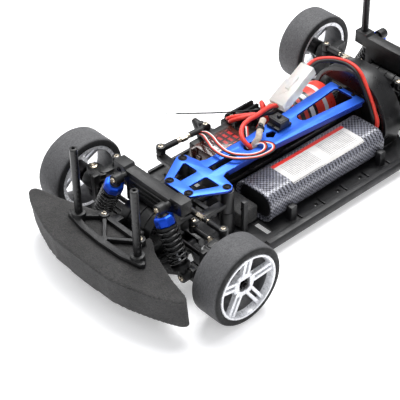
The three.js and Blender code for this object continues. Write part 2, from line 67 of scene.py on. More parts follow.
# Places on the left front corner, measured from its axle: across, backwards and up.
SHOCK_TOP = Vector((24, -14, 66))
SHOCK_LOW = Vector((48, -14, 18))
CAMBER_INNER = (21, 14, 50)
CAMBER_OUTER = (59, 14, 50)
HINGE_Z = 14

NODES = frame["nodes"]
BODY_OF = {node: body for body, held in frame["record"]["behaviour"]["bodies"].items() for node in held}

# ------------------------------------------------------------------ camera
CAMERA_AT = (621.7, -620.4, 692.4)
CAMERA_AZIMUTH = math.radians(48.17)
CAMERA_ELEVATION = math.radians(38.54)
CAMERA_ROLL = math.radians(-1.01)
SENSOR_WIDTH = 36
LENS = 127.23


def set_camera():
    """A long lens held above the front left corner, looking down the car."""
    data = bpy.data.cameras.new("studio_camera")
    camera = bpy.data.objects.new("studio_camera", data)
    bpy.context.scene.collection.objects.link(camera)
    az, el, roll = CAMERA_AZIMUTH, CAMERA_ELEVATION, CAMERA_ROLL
    back = Vector((math.sin(az) * math.cos(el), -math.cos(az) * math.cos(el), math.sin(el)))
    level = Vector((math.cos(az), math.sin(az), 0))
    above = back.cross(level)
    right = level * math.cos(roll) + above * math.sin(roll)
    up = above * math.cos(roll) - level * math.sin(roll)
    turn = Matrix((right, up, back)).transposed().to_4x4()
    camera.matrix_world = Matrix.Translation(Vector(CAMERA_AT) * MM) @ turn
    data.sensor_width = SENSOR_WIDTH
    data.lens = LENS
    data.clip_start = 0.05
    data.clip_end = 20
    bpy.context.scene.camera = camera


# ------------------------------------------------------------------ bench tools
def let_go():
    bpy.ops.object.select_all(action="DESELECT")


def hold(piece):
    """Makes a piece the only one selected, and the active one."""
    let_go()
    piece.select_set(True)
    bpy.context.view_layer.objects.active = piece
    return piece


def take(name):
    """Names the primitive just added and puts its place in its mesh."""
    piece = bpy.context.active_object
    bpy.ops.object.transform_apply(location=True, rotation=True, scale=True)
    piece.name = name
    piece.data.name = name
    return piece


def pick(piece, kind, test):
    """Goes into edit mode with only what passes the test selected.

    The test sees a place in mm, with a face's normal or an edge's direction.
    """
    hold(piece)
    bpy.ops.object.mode_set(mode="EDIT")
    bpy.ops.mesh.select_mode(type=kind)
    bpy.ops.mesh.select_all(action="DESELECT")
    work = bmesh.from_edit_mesh(piece.data)
    work.normal_update()
    if kind == "FACE":
        for face in work.faces:
            face.select_set(bool(test(face.calc_center_median() / MM, face.normal)))
    else:
        for edge in work.edges:
            middle = (edge.verts[0].co + edge.verts[1].co) / 2
            run = (edge.verts[1].co - edge.verts[0].co).normalized()
            edge.select_set(bool(test(middle / MM, run)))
    work.select_flush_mode()
    bmesh.update_edit_mesh(piece.data)


def put_down():
    bpy.ops.object.mode_set(mode="OBJECT")


def smooth(piece, angle=32):
    hold(piece)
    bpy.ops.object.shade_smooth_by_angle(angle=math.radians(angle))
    return piece


def add_modifier(piece, kind, **settings):
    """Adds a modifier with its settings and applies it."""
    hold(piece)
    modifier = piece.modifiers.new(kind.lower(), kind)
    for key, value in settings.items():
        setattr(modifier, key, value)
    bpy.ops.object.modifier_apply(modifier=modifier.name)
    return piece


def round_edges(piece, width, segments=2, angle=35):
    """Rounds the sharp edges, as a mould or a file leaves them."""
    add_modifier(piece, "BEVEL", width=width * MM, segments=segments, limit_method="ANGLE",
                 angle_limit=math.radians(angle), use_clamp_overlap=False, harden_normals=False)
    return smooth(piece, 40)


def fit(piece, material, body, *nodes):
    """Gives a finished piece its material, its body and the CAD nodes it stands for."""
    piece.data.materials.clear()
    piece.data.materials.append(material)
    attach(piece, body)
    if nodes:
        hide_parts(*nodes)
    return piece


def block(name, low, high, edge=0.0, segments=2):
    """A cube stretched between two corners, with its edges rounded."""
    low, high = Vector(low), Vector(high)
    let_go()
    bpy.ops.mesh.primitive_cube_add(size=1, location=(low + high) / 2 * MM)
    bpy.context.active_object.scale = (high - low) * MM
    piece = take(name)
    if edge:
        bpy.ops.object.mode_set(mode="EDIT")
        bpy.ops.mesh.select_all(action="SELECT")
        bpy.ops.mesh.bevel(offset=edge * MM, segments=segments, affect="EDGES")
        put_down()
        smooth(piece, 40)
    return piece


def turned(name, profile, start=(0, 0, 0), along=(1, 0, 0), sides=32, ring=False, turn=0.0, angle=32):
    """Turns (radius, distance) pairs about an axis: a circle is extruded and resized from pair to pair."""
    along = Vector(along).normalized()
    start = Vector(start) * MM
    facing = along.to_track_quat("Z", "Y") @ Matrix.Rotation(math.radians(turn), 3, "Z").to_quaternion()
    radius, distance = profile[0]
    let_go()
    bpy.ops.mesh.primitive_circle_add(
        vertices=sides, radius=radius * MM, fill_type="NOTHING" if ring else "NGON",
        location=start + along * distance * MM, rotation=facing.to_euler())
    piece = take(name)
    bpy.ops.object.mode_set(mode="EDIT")
    bpy.ops.mesh.select_mode(type="EDGE" if ring else "FACE")
    bpy.ops.mesh.select_all(action="SELECT")
    for (old_radius, old_distance), (new_radius, new_distance) in zip(profile, profile[1:]):
        step = along * (new_distance - old_distance) * MM
        bpy.ops.mesh.extrude_region_move(TRANSFORM_OT_translate={"value": step})
        size = new_radius / old_radius
        centre = start + along * new_distance * MM
        bpy.ops.transform.resize(value=(size, size, size), center_override=centre)
    bpy.ops.mesh.select_all(action="SELECT")
    bpy.ops.mesh.remove_doubles(threshold=1e-6)
    bpy.ops.mesh.normals_make_consistent(inside=False)
    put_down()
    return smooth(piece, angle)


def rod_between(name, a, b, profile, sides=16, angle=32):
    """A turned piece from a to b. The profile's distances run from 0 at a to 1 at b."""
    a, b = Vector(a), Vector(b)
    length = (b - a).length
    return turned(name, [(r, t * length) for r, t in profile], a, b - a, sides, angle=angle)


def copied(piece, name, flip_x=False, spin=None):
    """A copy with its own mesh, mirrored across the car, or spun about (axis, centre, degrees)."""
    copy = piece.copy()
    copy.data = piece.data.copy()
    copy.name = name
    copy.data.name = name
    copy.parent = None
    for key in list(copy.keys()):
        del copy[key]
    bpy.context.scene.collection.objects.link(copy)
    if flip_x:
        copy.data.transform(Matrix.Diagonal((-1, 1, 1, 1)))
        copy.data.flip_normals()
    if spin:
        axis, centre, degrees = spin
        centre = Vector(centre) * MM
        turn = Matrix.Rotation(math.radians(degrees), 4, Vector(axis))
        copy.data.transform(Matrix.Translation(centre) @ turn @ Matrix.Translation(-centre))
    return copy


def joined(name, pieces):
    """Joins pieces that are one moulding or one fastener into the first."""
    let_go()
    for piece in pieces:
        piece.select_set(True)
    bpy.context.view_layer.objects.active = pieces[0]
    bpy.ops.object.join()
    pieces[0].name = name
    pieces[0].data.name = name
    return pieces[0]


def moulded(node, name, edge, material):
    """Takes the shape of a CAD node, joins its triangles into whole faces and rounds its edges."""
    piece = bpy.data.objects.new(name, NODES[node].data.copy())
    bpy.context.scene.collection.objects.link(piece)
    hold(piece)
    bpy.ops.object.mode_set(mode="EDIT")
    bpy.ops.mesh.customdata_custom_splitnormals_clear()
    bpy.ops.mesh.select_all(action="SELECT")
    bpy.ops.mesh.remove_doubles(threshold=1e-6)
    bpy.ops.mesh.tris_convert_to_quads(face_threshold=math.radians(1), shape_threshold=math.radians(60))
    put_down()
    round_edges(piece, edge)
    return fit(piece, material, BODY_OF[node], node)


def loose_wire(name, points, radius, material, body="chassis"):
    """A wire: one smooth open curve through its points, with a round section."""
    data = bpy.data.curves.new(name, "CURVE")
    data.dimensions = "3D"
    data.bevel_depth = radius * MM
    data.bevel_resolution = 3
    data.resolution_u = 8
    data.use_fill_caps = True
    spline = data.splines.new("BEZIER")
    spline.bezier_points.add(len(points) - 1)
    for knot, place in zip(spline.bezier_points, points):
        knot.co = Vector(place) * MM
        knot.handle_left_type = knot.handle_right_type = "AUTO"
    piece = bpy.data.objects.new(name, data)
    bpy.context.scene.collection.objects.link(piece)
    data.materials.append(material)
    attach(piece, body)
    return piece


# ------------------------------------------------------------------ finishes
def paint(hex_code):
    """An sRGB hex colour as a linear one."""
    values = [int(hex_code[i:i + 2], 16) / 255 for i in (1, 3, 5)]
    linear = [v / 12.92 if v <= 0.04045 else ((v + 0.055) / 1.055) ** 2.4 for v in values]
    return (*linear, 1.0)


def put(tree, kind, sockets=None, **settings):
    """Adds one node with its settings.

    A socket given an output is linked to it, and any other gets the value.
    """
    node = tree.nodes.new("ShaderNode" + kind)
    for key, value in settings.items():
        setattr(node, key, value)
    for key, value in (sockets or {}).items():
        if isinstance(value, bpy.types.NodeSocket):
            tree.links.new(value, node.inputs[key])
        else:
            node.inputs[key].default_value = value
    return node


def fresh(name, **sockets):
    """A new material with its shader's plain sockets set. Returns the material, its nodes and the shader."""
    material = bpy.data.materials.new(name)
    material.use_nodes = True
    tree = material.node_tree
    shader = tree.nodes["Principled BSDF"]
    for key, value in sockets.items():
        shader.inputs[key.replace("_", " ")].default_value = value
    return material, tree, shader


def mottle(tree, size, low, high, detail=3, place=None, rough=0.6):
    """Soft irregular patches about size mm across, running from low to high."""
    if place is None:
        place = put(tree, "TexCoord").outputs["Object"]
    cloud = put(tree, "TexNoise", {"Vector": place, "Scale": 1 / (size * MM), "Detail": detail,
                                   "Roughness": rough})
    spread = put(tree, "MapRange", {"Value": cloud.outputs["Fac"], "From Min": 0.3, "From Max": 0.7,
                                    "To Min": low, "To Max": high})
    return spread.outputs["Result"]


def tint(tree, factor, first, second):
    """Goes from the first colour to the second."""
    mix = put(tree, "Mix", {"Factor": factor}, data_type="RGBA")
    for socket, colour in (("A", first), ("B", second)):
        target = [s for s in mix.inputs if s.name == socket and s.type == "RGBA"][0]
        if isinstance(colour, bpy.types.NodeSocket):
            tree.links.new(colour, target)
        else:
            target.default_value = paint(colour)
    return [s for s in mix.outputs if s.type == "RGBA"][0]


def sink(tree, shader, height, depth):
    """Bumps the surface by a height from 0 to 1, depth mm deep."""
    bump = put(tree, "Bump", {"Height": height, "Distance": depth * MM, "Strength": 1.0})
    tree.links.new(bump.outputs["Normal"], shader.inputs["Normal"])


def feed(tree, shader, **sockets):
    for key, output in sockets.items():
        tree.links.new(output, shader.inputs[key.replace("_", " ")])


def mottled(name, dark, light, patch, grain, depth, smooth_end, rough_end, **sockets):
    """Two close colours in patches, an even grain, and a gloss that varies between two ends."""
    material, tree, shader = fresh(name, **sockets)
    feed(tree, shader, Base_Color=tint(tree, mottle(tree, patch, 0, 1), dark, light),
         Roughness=mottle(tree, patch * 0.6, smooth_end, rough_end))
    sink(tree, shader, mottle(tree, grain, 0, 1, detail=2), depth)
    return material


# Glass-filled nylon, injection moulded: charcoal black with a faint greyish bloom
# and a fine spark-eroded grain.
moulded_nylon = mottled("moulded_nylon", "#060607", "#101012", 9, 0.45, 0.05, 0.34, 0.52, IOR=1.5)

# The tray is the same nylon, handled more: scuffed lighter in patches, with a matt floor.
tray_nylon = mottled("tray_nylon", "#09090A", "#1A1A1D", 14, 0.5, 0.05, 0.34, 0.58, IOR=1.5)

# Polished ABS gearboxes, gear cover and body posts: near black, wet looking, with broad soft highlights.
polished_abs = mottled("polished_abs", "#050506", "#0C0C0E", 20, 0.6, 0.02, 0.24, 0.38, IOR=1.54)

# Black oxide steel screws and shafts: dark, slightly brown, oiled.
black_oxide = mottled("black_oxide", "#121213", "#232122", 3, 0.3, 0.015, 0.25, 0.42, Metallic=0.85)

# Nickel plated steel with a warm cast: ball studs, turnbuckles and pins.
warm_nickel = mottled("warm_nickel", "#B9AC97", "#D6CCBB", 2.5, 0.3, 0.015, 0.16, 0.34, Metallic=1.0)

# Ground bright steel: shock shafts, hinge pins and the motor shaft.
bright_steel = mottled("bright_steel", "#A9ABAE", "#CDD0D4", 3, 0.25, 0.01, 0.15, 0.3, Metallic=1.0)

# Spring wire, black enamelled after winding: deep black with a hard gloss.
enamelled_spring = mottled("enamelled_spring", "#0B0B0C", "#18181A", 4, 0.4, 0.02, 0.18, 0.32,
                           Coat_Weight=0.4,
                           Coat_Roughness=0.15)

# Chromed plastic rim: bright silver, a little clouded by handling; the darker inside of its barrel is painted
# shade, in a material of its own.
silver_rim = mottled("silver_rim", "#DCDDE1", "#F0F1F4", 7, 0.5, 0.006, 0.22, 0.34, Metallic=0.35)

# The inside of the rim barrel: painted shade, a dull dark grey in soft patches standing in for the shadow
# inside the wheel.
barrel_painted_shade = mottled("barrel_painted_shade", "#3C3C3E", "#5C5C5F", 5, 0.5, 0.02, 0.4, 0.6)

# Natural nylon battery connector: milky and waxy, light passes through its walls.
milky_nylon = mottled("milky_nylon", "#EDECE6", "#FAF9F5", 5, 0.6, 0.03, 0.3, 0.42, IOR=1.53,
                      Transmission_Weight=0.6, Subsurface_Weight=0.2)

# Silicone wire jackets: soft satin, faintly dusty.
red_silicone = mottled("red_silicone", "#D8342A", "#EE4A3E", 6, 0.4, 0.02, 0.36, 0.5, IOR=1.41)
black_silicone = mottled("black_silicone", "#0C0C0D", "#19191B", 6, 0.4, 0.02, 0.34, 0.48, IOR=1.41)
white_silicone = mottled("white_silicone", "#DEDCD8", "#F3F1EE", 6, 0.4, 0.02, 0.36, 0.5, IOR=1.41)

# Clear PVC antenna tip, cloudy where it was cut.
clear_pvc = mottled("clear_pvc", "#E6E8EA", "#F6F7F8", 4, 0.4, 0.01, 0.15, 0.3, Transmission_Weight=0.7,
                    IOR=1.5)

# Cloth harness tape round the wire bundle: sandy beige, thready and a little soiled.
harness_tape = mottled("harness_tape", "#A8998A", "#D2C6B8", 2.2, 0.5, 0.12, 0.6, 0.85)

# Green dyed nylon ring round the centre shaft.
green_ring = mottled("green_ring", "#1F8F1B", "#35B82C", 3, 0.4, 0.03, 0.3, 0.45)


def cut_foam(name, dark, light):
    """Closed-cell EVA foam, knife cut: matt charcoal, its cells 0.7 mm across, coarse enough to show."""
    material, tree, shader = fresh(name, Sheen_Weight=0.12, Sheen_Roughness=0.6, Specular_IOR_Level=0.25)
    place = put(tree, "TexCoord").outputs["Object"]
    cells = put(tree, "TexVoronoi", {"Vector": place, "Scale": 1 / (0.7 * MM)})
    speck = put(tree, "MapRange", {"Value": cells.outputs["Distance"], "From Min": 0.1, "From Max": 0.75})
    broad = tint(tree, mottle(tree, 22, 0, 1), dark, light)
    fine = put(tree, "Mix", {"Factor": 0.5}, data_type="RGBA", blend_type="OVERLAY")
    tree.links.new(broad, fine.inputs[6])
    tree.links.new(cells.outputs["Color"], fine.inputs[7])
    grey = put(tree, "HueSaturation", {"Saturation": 0.12, "Color": fine.outputs[2]})
    feed(tree, shader, Base_Color=grey.outputs["Color"], Roughness=mottle(tree, 3, 0.86, 0.98))
    sink(tree, shader, speck.outputs["Result"], 0.16)
    return material


bumper_eva = cut_foam("bumper_eva", "#292322", "#3A3230")
battery_eva = cut_foam("battery_eva", "#343130", "#45413F")


def anodised(name, dark, light, painted_side_shade, metal=0.88):
    """Blue anodised aluminium under a thin clear oxide, brushed along the car, with painted shade: its
    upright side faces are painted a deeper blue.
    """
    material, tree, shader = fresh(name, Metallic=metal, Coat_Weight=0.12, Coat_Roughness=0.2)
    place = put(tree, "TexCoord").outputs["Object"]
    drawn = put(tree, "Mapping", {"Vector": place, "Scale": (1, 0.06, 1)}).outputs["Vector"]
    streaks = mottle(tree, 0.5, 0, 1, place=drawn)
    # Painted shade: faces that stand upright get the third, deeper colour, as if the overhead light falls
    # less on them.
    facing = put(tree, "NewGeometry").outputs["Normal"]
    upright = put(tree, "SeparateXYZ", {"Vector": facing}).outputs["Z"]
    flat = put(tree, "Math", {0: upright}, operation="ABSOLUTE").outputs[0]
    unshaded_top_mask = put(tree, "MapRange", {"Value": flat, "From Min": 0.4, "From Max": 0.65}).outputs["Result"]
    face = tint(tree, mottle(tree, 18, 0, 1), dark, light)
    feed(tree, shader, Base_Color=tint(tree, unshaded_top_mask, painted_side_shade, face),
         Roughness=mottle(tree, 0.8, 0.36, 0.48, place=drawn))
    sink(tree, shader, streaks, 0.012)
    return material


# The third colour of each blue is painted shade for the upright side faces.
deck_blue = anodised("deck_blue", "#2E6AEA", "#3C79F4", "#17389C", metal=0.6)
cap_blue = anodised("cap_blue", "#1650D8", "#2564EA", "#1148CC")


def tyre_rubber(axle):
    """Hard drift-compound rubber: a dusty grey tread with fine marks round it, and darker sidewalls."""
    material, tree, shader = fresh("tyre_rubber_" + ("front" if axle == FRONT_AXLE else "rear"), IOR=1.52,
                                   Specular_IOR_Level=0.4)
    place = put(tree, "TexCoord").outputs["Object"]
    centred = put(tree, "Mapping", {"Vector": place, "Location": (0, -axle * MM, -AXLE_Z * MM)})
    parts = put(tree, "SeparateXYZ", {"Vector": centred.outputs["Vector"]}).outputs
    angle = put(tree, "Math", {0: parts["Y"], 1: parts["Z"]}, operation="ARCTAN2").outputs[0]
    round_way = put(tree, "Math", {0: angle, 1: 0.006}, operation="MULTIPLY").outputs[0]
    unrolled = put(tree, "CombineXYZ", {"X": parts["X"], "Y": round_way}).outputs["Vector"]
    rubbed = mottle(tree, 0.9, 0, 1, place=unrolled, detail=5, rough=0.75)
    y_squared = put(tree, "Math", {0: parts["Y"], 1: parts["Y"]}, operation="MULTIPLY").outputs[0]
    squares = put(tree, "Math", {0: parts["Z"], 1: parts["Z"], 2: y_squared},
                  operation="MULTIPLY_ADD").outputs[0]
    radius = put(tree, "Math", {0: squares}, operation="SQRT").outputs[0]
    on_tread = put(tree, "MapRange", {"Value": radius, "From Min": 0.0308,
                                      "From Max": 0.0317}).outputs["Result"]
    worn = tint(tree, rubbed, "#19191A", "#4C4C4E")
    dusty = tint(tree, mottle(tree, 1.2, 0, 0.8, detail=6, rough=0.85), worn, "#6E6E70")
    side = tint(tree, mottle(tree, 6, 0, 1), "#0B0B0C", "#1A1A1B")
    feed(tree, shader, Base_Color=tint(tree, on_tread, side, dusty), Roughness=mottle(tree, 4, 0.6, 0.85))
    sink(tree, shader, rubbed, 0.06)
    return material


def woven_wrap():
    """Clear shrink film over printed carbon-look weave: silver and slate checks 1.7 mm across, glossy."""
    material, tree, shader = fresh("woven_wrap", Coat_Weight=0.45, Coat_Roughness=0.12, Metallic=0.2)
    place = put(tree, "TexCoord").outputs["Object"]
    check = put(tree, "TexChecker", {"Vector": place, "Scale": 1 / (1.7 * MM), "Color1": paint("#1A1B22"),
                                     "Color2": paint("#8C8D98")})
    shaded = tint(tree, mottle(tree, 16, 0, 0.3, detail=4), check.outputs["Color"], "#777881")
    feed(tree, shader, Base_Color=shaded, Roughness=mottle(tree, 5, 0.22, 0.42))
    sink(tree, shader, mottle(tree, 11, 0, 1, detail=3), 0.5)
    return material


def printed_label():
    """Coated paper label: white, with fine grey rules as print and a red stripe along its inner edge."""
    material, tree, shader = fresh("printed_label", IOR=1.5, Coat_Weight=0.3, Coat_Roughness=0.2)
    place = put(tree, "TexCoord").outputs["Object"]
    parts = put(tree, "SeparateXYZ", {"Vector": place}).outputs
    beat = put(tree, "Math", {0: parts["X"], 1: 1 / (1.7 * MM)}, operation="MULTIPLY").outputs[0]
    within = put(tree, "Math", {0: beat}, operation="FRACT").outputs[0]
    rule = put(tree, "Math", {0: within, 1: 0.36}, operation="LESS_THAN").outputs[0]
    left = put(tree, "Math", {0: parts["X"], 1: 19 * MM}, operation="GREATER_THAN").outputs[0]
    right = put(tree, "Math", {0: parts["X"], 1: 37 * MM}, operation="LESS_THAN").outputs[0]
    centred = put(tree, "Math", {0: parts["Y"], 1: -36 * MM}, operation="ADD").outputs[0]
    away = put(tree, "Math", {0: centred}, operation="ABSOLUTE").outputs[0]
    clear_middle = put(tree, "Math", {0: away, 1: 4.5 * MM}, operation="GREATER_THAN").outputs[0]
    clear_ends = put(tree, "Math", {0: away, 1: 35 * MM}, operation="LESS_THAN").outputs[0]
    print_here = rule
    for limit in (left, right, clear_middle, clear_ends):
        print_here = put(tree, "Math", {0: print_here, 1: limit}, operation="MULTIPLY").outputs[0]
    broken = put(tree, "Math", {0: print_here, 1: mottle(tree, 3.2, 0.45, 0.9)},
                 operation="MULTIPLY").outputs[0]
    paper = tint(tree, mottle(tree, 12, 0, 1), "#CBC9C6", "#DAD8D5")
    ruled = tint(tree, broken, paper, "#55545A")
    stripe = put(tree, "Math", {0: parts["X"], 1: 18 * MM}, operation="LESS_THAN").outputs[0]
    feed(tree, shader, Base_Color=tint(tree, stripe, ruled, "#E5342B"), Roughness=mottle(tree, 6, 0.35, 0.5))
    return material


def motor_enamel():
    """Enamelled steel can: red with a plain black and silver pattern of bands round it."""
    material, tree, shader = fresh("motor_enamel", IOR=1.5, Coat_Weight=0.5, Coat_Roughness=0.1)
    place = put(tree, "TexCoord").outputs["Object"]
    parts = put(tree, "SeparateXYZ", {"Vector": place}).outputs

    def between(low, high):
        above = put(tree, "Math", {0: parts["Y"], 1: low * MM}, operation="GREATER_THAN").outputs[0]
        below = put(tree, "Math", {0: parts["Y"], 1: high * MM}, operation="LESS_THAN").outputs[0]
        return put(tree, "Math", {0: above, 1: below}, operation="MULTIPLY").outputs[0]

    colour = tint(tree, mottle(tree, 8, 0, 1), "#E2372A", "#EE4737")
    for low, high, ink in ((57.5, 62, "#09090A"), (66, 76, "#09090A"), (68.5, 73, "#F2F2F4"),
                           (84, 88, "#E2E2E5")):
        colour = tint(tree, between(low, high), colour, ink)
    feed(tree, shader, Base_Color=colour, Roughness=mottle(tree, 5, 0.25, 0.4))
    return material


def smoky_case():
    """Smoked polycarbonate servo case: dark brown, lit from within at its edges."""
    material, tree, shader = fresh("smoky_case", IOR=1.58, Transmission_Weight=0.2, Coat_Weight=0.3,
                                   Coat_Roughness=0.08)
    feed(tree, shader, Base_Color=tint(tree, mottle(tree, 7, 0, 1, detail=4), "#2B1310", "#5E2E20"),
         Roughness=mottle(tree, 4, 0.12, 0.3))
    sink(tree, shader, mottle(tree, 6, 0, 1), 0.08)
    return material


def servo_print():
    """Glossy foil label on the servo: dark, with a plain grid of red and pale blocks."""
    material, tree, shader = fresh("servo_print", Coat_Weight=0.5, Coat_Roughness=0.1)
    place = put(tree, "TexCoord").outputs["Object"]
    parts = put(tree, "SeparateXYZ", {"Vector": place}).outputs
    rows = put(tree, "Math", {0: parts["Y"], 1: 1 / (5.4 * MM)}, operation="MULTIPLY").outputs[0]
    in_row = put(tree, "Math", {0: rows}, operation="FRACT").outputs[0]
    row = put(tree, "Math", {0: in_row, 1: 0.5}, operation="LESS_THAN").outputs[0]
    columns = put(tree, "Math", {0: parts["X"], 1: 1 / (6.6 * MM)}, operation="MULTIPLY").outputs[0]
    in_column = put(tree, "Math", {0: columns}, operation="FRACT").outputs[0]
    column = put(tree, "Math", {0: in_column, 1: 0.72}, operation="LESS_THAN").outputs[0]
    printed = put(tree, "Math", {0: row, 1: column}, operation="MULTIPLY").outputs[0]
    pale = put(tree, "Math", {0: parts["Y"], 1: -21 * MM}, operation="LESS_THAN").outputs[0]
    ink = tint(tree, pale, "#B02A2A", "#D8C9C4")
    feed(tree, shader, Base_Color=tint(tree, printed, "#3A1A1B", ink), Roughness=mottle(tree, 4, 0.2, 0.35))
    return material


def studio_floor():
    """Seamless pale paper, very slightly uneven."""
    material, tree, shader = fresh("studio_paper", Specular_IOR_Level=0.2)
    feed(tree, shader, Base_Color=tint(tree, mottle(tree, 400, 0, 1), "#F1F1F3", "#F6F6F7"),
         Roughness=mottle(tree, 80, 0.7, 0.85))
    shader.inputs["Emission Color"].default_value = paint("#FFFFFF")
    shader.inputs["Emission Strength"].default_value = 0.35
    return material


# ------------------------------------------------------------------ cords

ANTENNA_RUN = [(-36, 32, 46.2), (-41, 22, 47.5), (-50, 9, 47.8), (-66, -9, 47.5), (-76, -19.5, 47.4)]
ANTENNA_TIP = [(-75.5, -19, 47.4), (-82, -25, 47), (-87, -34, 46), (-88, -45, 43.5)]
SERVO_RUN = [(-44, -24, 46), (-37, -27, 50), (-24, -34, 54.5), (-12, -38.5, 55.5), (1, -37, 55),
             (12, -27, 54.5),
             (18, -13, 54.5), (15, -1, 54.8), (8, -2, 55), (3, -7, 53.5), (0, -11, 50), (-5, -9, 46.8),
             (-13, -1, 47.2), (-20, 5, 48.4), (-25, 9.5, 46.8), (-26, 10.5, 44), (-26, 10.5, 41.4)]
BATTERY_RUN = [(28, 95.5, 25), (28, 97, 25.6), (29.5, 98.4, 29), (30.4, 98.6, 34), (27, 98.6, 44),
               (21.4, 98.8, 54.4),
               (14.8, 99.4, 63.6), (7, 100.5, 71), (-2, 101, 73.6), (-12, 98.5, 74.2), (-20, 92, 74.4),
               (-24.5, 85, 73.6), (-25.8, 78.7, 71.2)]
ESC_RUN = [(-22.2, 39, 52.7), (-20.5, 33, 51.5), (-19, 24, 55), (-19, 14, 57), (-22, 11, 56), (-26, 15, 52),
           (-27.5, 20.5, 47.5), (-27.5, 21.5, 44.5), (-27.5, 21.5, 41.4)]
RED_LOOP = [(-22.5, 40, 53), (-22, 34, 56), (-20, 24, 58.5), (-17.5, 12, 59.5), (-17, 3, 60), (-14.5, -6, 59),
            (-8, -12.5, 56.5), (-3, -13.5, 54), (0.5, -11.5, 50.5), (0.5, -9.5, 45)]
SHORT_RIBBON = [(-44, -22, 47), (-38, -23, 50.5), (-28, -26, 53.5), (-14, -31, 54.8), (-2, -32, 55),
                (7, -27, 55),
                (13.5, -18, 55), (13, -8, 55), (8, -5, 55.5), (3, -8, 54), (0.5, -10.5, 49.5),
                (0.5, -9.5, 45)]
FAN_WIRES = ([(-47, 10, 43), (-44, 6.5, 46), (-39, 8, 49.5), (-34, 14, 50.5), (-29, 22, 50), (-26, 30, 46),
              (-26, 33, 38)],
             [(-43, 9, 43), (-39.5, 5, 46.5), (-35, 6, 50), (-30, 12, 52), (-26.5, 19, 52), (-23.5, 26, 49),
              (-23.5, 28, 38)])
RED_HOOP = [(-29, 33, 40), (-30, 33, 50), (-29.5, 30, 57), (-26.5, 26, 60.5), (-22.5, 23.5, 59),
            (-20.5, 22, 54),
            (-20.5, 20, 48), (-22, 18, 42)]


def side_by_side(points, offset):
    """The run of one wire of a flat ribbon: the points moved sideways by offset mm, level with the deck."""
    places = [Vector(p) for p in points]
    moved = []
    for i, place in enumerate(places):
        run = places[min(i + 1, len(places) - 1)] - places[max(i - 1, 0)]
        sideways = run.cross(Vector((0, 0, 1)))
        if sideways.length < 0.2 * run.length:
            sideways = Vector((1, 0, 0))
        moved.append(place + sideways.normalized() * offset)
    return moved


def run_length(piece):
    """The real length of a wire in metres, measured along it."""
    bpy.context.view_layer.update()
    return piece.data.splines[0].calc_length()


def wire_cord(name, points, radius, material, nodes=()):
    piece = loose_wire(name, points, radius, material)
    round(run_length(piece), 3)
    if nodes:
        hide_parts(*nodes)
    return piece


def lay_wires():
    """Servo ribbons, thick motor and battery leads, and the antenna tube."""
    antenna = loose_wire("antenna_tube", ANTENNA_RUN, 0.62, black_silicone)
    tip = loose_wire("antenna_tip", ANTENNA_TIP, 0.6, clear_pvc)
    round(run_length(antenna), 3)
    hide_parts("antenna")
    ribbon_inks = (("black", black_silicone, 1.05), ("red", red_silicone, 0.0), ("white", white_silicone,
                                                                                 -1.05))
    for ink, material, offset in ribbon_inks:
        nodes = ["servo_lead"] if ink == "red" else []
        wire_cord(f"servo_wire_{ink}", side_by_side(SERVO_RUN, offset), 0.52, material, nodes=nodes)
        wire_cord(f"receiver_wire_{ink}", side_by_side(SHORT_RIBBON, offset), 0.52, material)
    wire_cord("battery_wire_red", side_by_side(BATTERY_RUN, 1.6), 1.8, red_silicone,
              ["battery_leads"])
    wire_cord("battery_wire_black", side_by_side(BATTERY_RUN, -1.7), 1.5, black_silicone)
    wire_cord("controller_wire_black", ESC_RUN, 1.55, black_silicone, ["esc_leads"])
    wire_cord("controller_wire_red", RED_LOOP, 1.9, red_silicone)
    for number, run in enumerate(FAN_WIRES, 1):
        wire_cord(f"motor_wire_{number}", run, 1.7, red_silicone)
    wire_cord("motor_wire_hoop", RED_HOOP, 1.7, red_silicone)


# ------------------------------------------------------------------ fasteners
def screw(name, place, along=(0, 0, 1), head=2.9, rise=1.6, material=None, body="chassis"):
    """A pan-head machine screw: domed head on its seat, with a recess for the driver."""
    shape = turned(name, [(head * 0.96, -0.3), (head, 0.25), (head * 0.93, rise * 0.6), (head * 0.62, rise),
                          (head * 0.3, rise + 0.05)], place, along, 18)
    along = Vector(along).normalized()
    pick(shape, "FACE", lambda at,
         normal: normal.dot(along) > 0.97 and (at - Vector(place)).dot(along) > rise)
    bpy.ops.mesh.inset(thickness=head * 0.08 * MM)
    bpy.ops.mesh.extrude_region_move(TRANSFORM_OT_translate={"value": along * -0.9 * MM})
    put_down()
    return fit(shape, material or black_oxide, body)


def ball_stud(name, place, along, body, radius=2.6, neck=4.2):
    """A plated ball on a short hexagon neck."""
    along = Vector(along).normalized()
    place = Vector(place)
    profile = [(radius * math.sin(math.radians(a)), -radius * math.cos(math.radians(a))) for a in range(15,
                                                                                                        150,
                                                                                                        15)]
    profile += [(radius * 0.5, radius * 0.95), (radius * 0.5, neck - 1.2), (radius * 0.95, neck - 1.2),
                (radius * 0.95, neck)]
    ball = turned(name, profile, place, along, 18)
    return fit(ball, warm_nickel, body)


def turnbuckle(name, a, b, body, rod=1.75, hexagon=2.7, half=0.13, reach=0.24, at=0.5):
    """The bright adjuster of a link, centred at a share of its length: two threads and a hexagon."""
    profile = [(rod * 0.8, at - reach), (rod, at - reach + 0.01), (rod, at - half), (rod * 1.25, at - half)]
    profile += [(rod * 1.25, at + half), (rod, at + half), (rod, at + reach - 0.01), (rod * 0.8, at + reach)]
    threads = rod_between(name, a, b, profile, 12)
    nut = rod_between(name + "_hexagon", a, b, [(hexagon * 0.9, at - half * 0.62),
                                                (hexagon, at - half * 0.55),
                                                 (hexagon, at + half * 0.55), (hexagon * 0.9,
                                                                               at + half * 0.62)], 6,
                      angle=20)
    return fit(joined(name, [threads, nut]), warm_nickel, body)


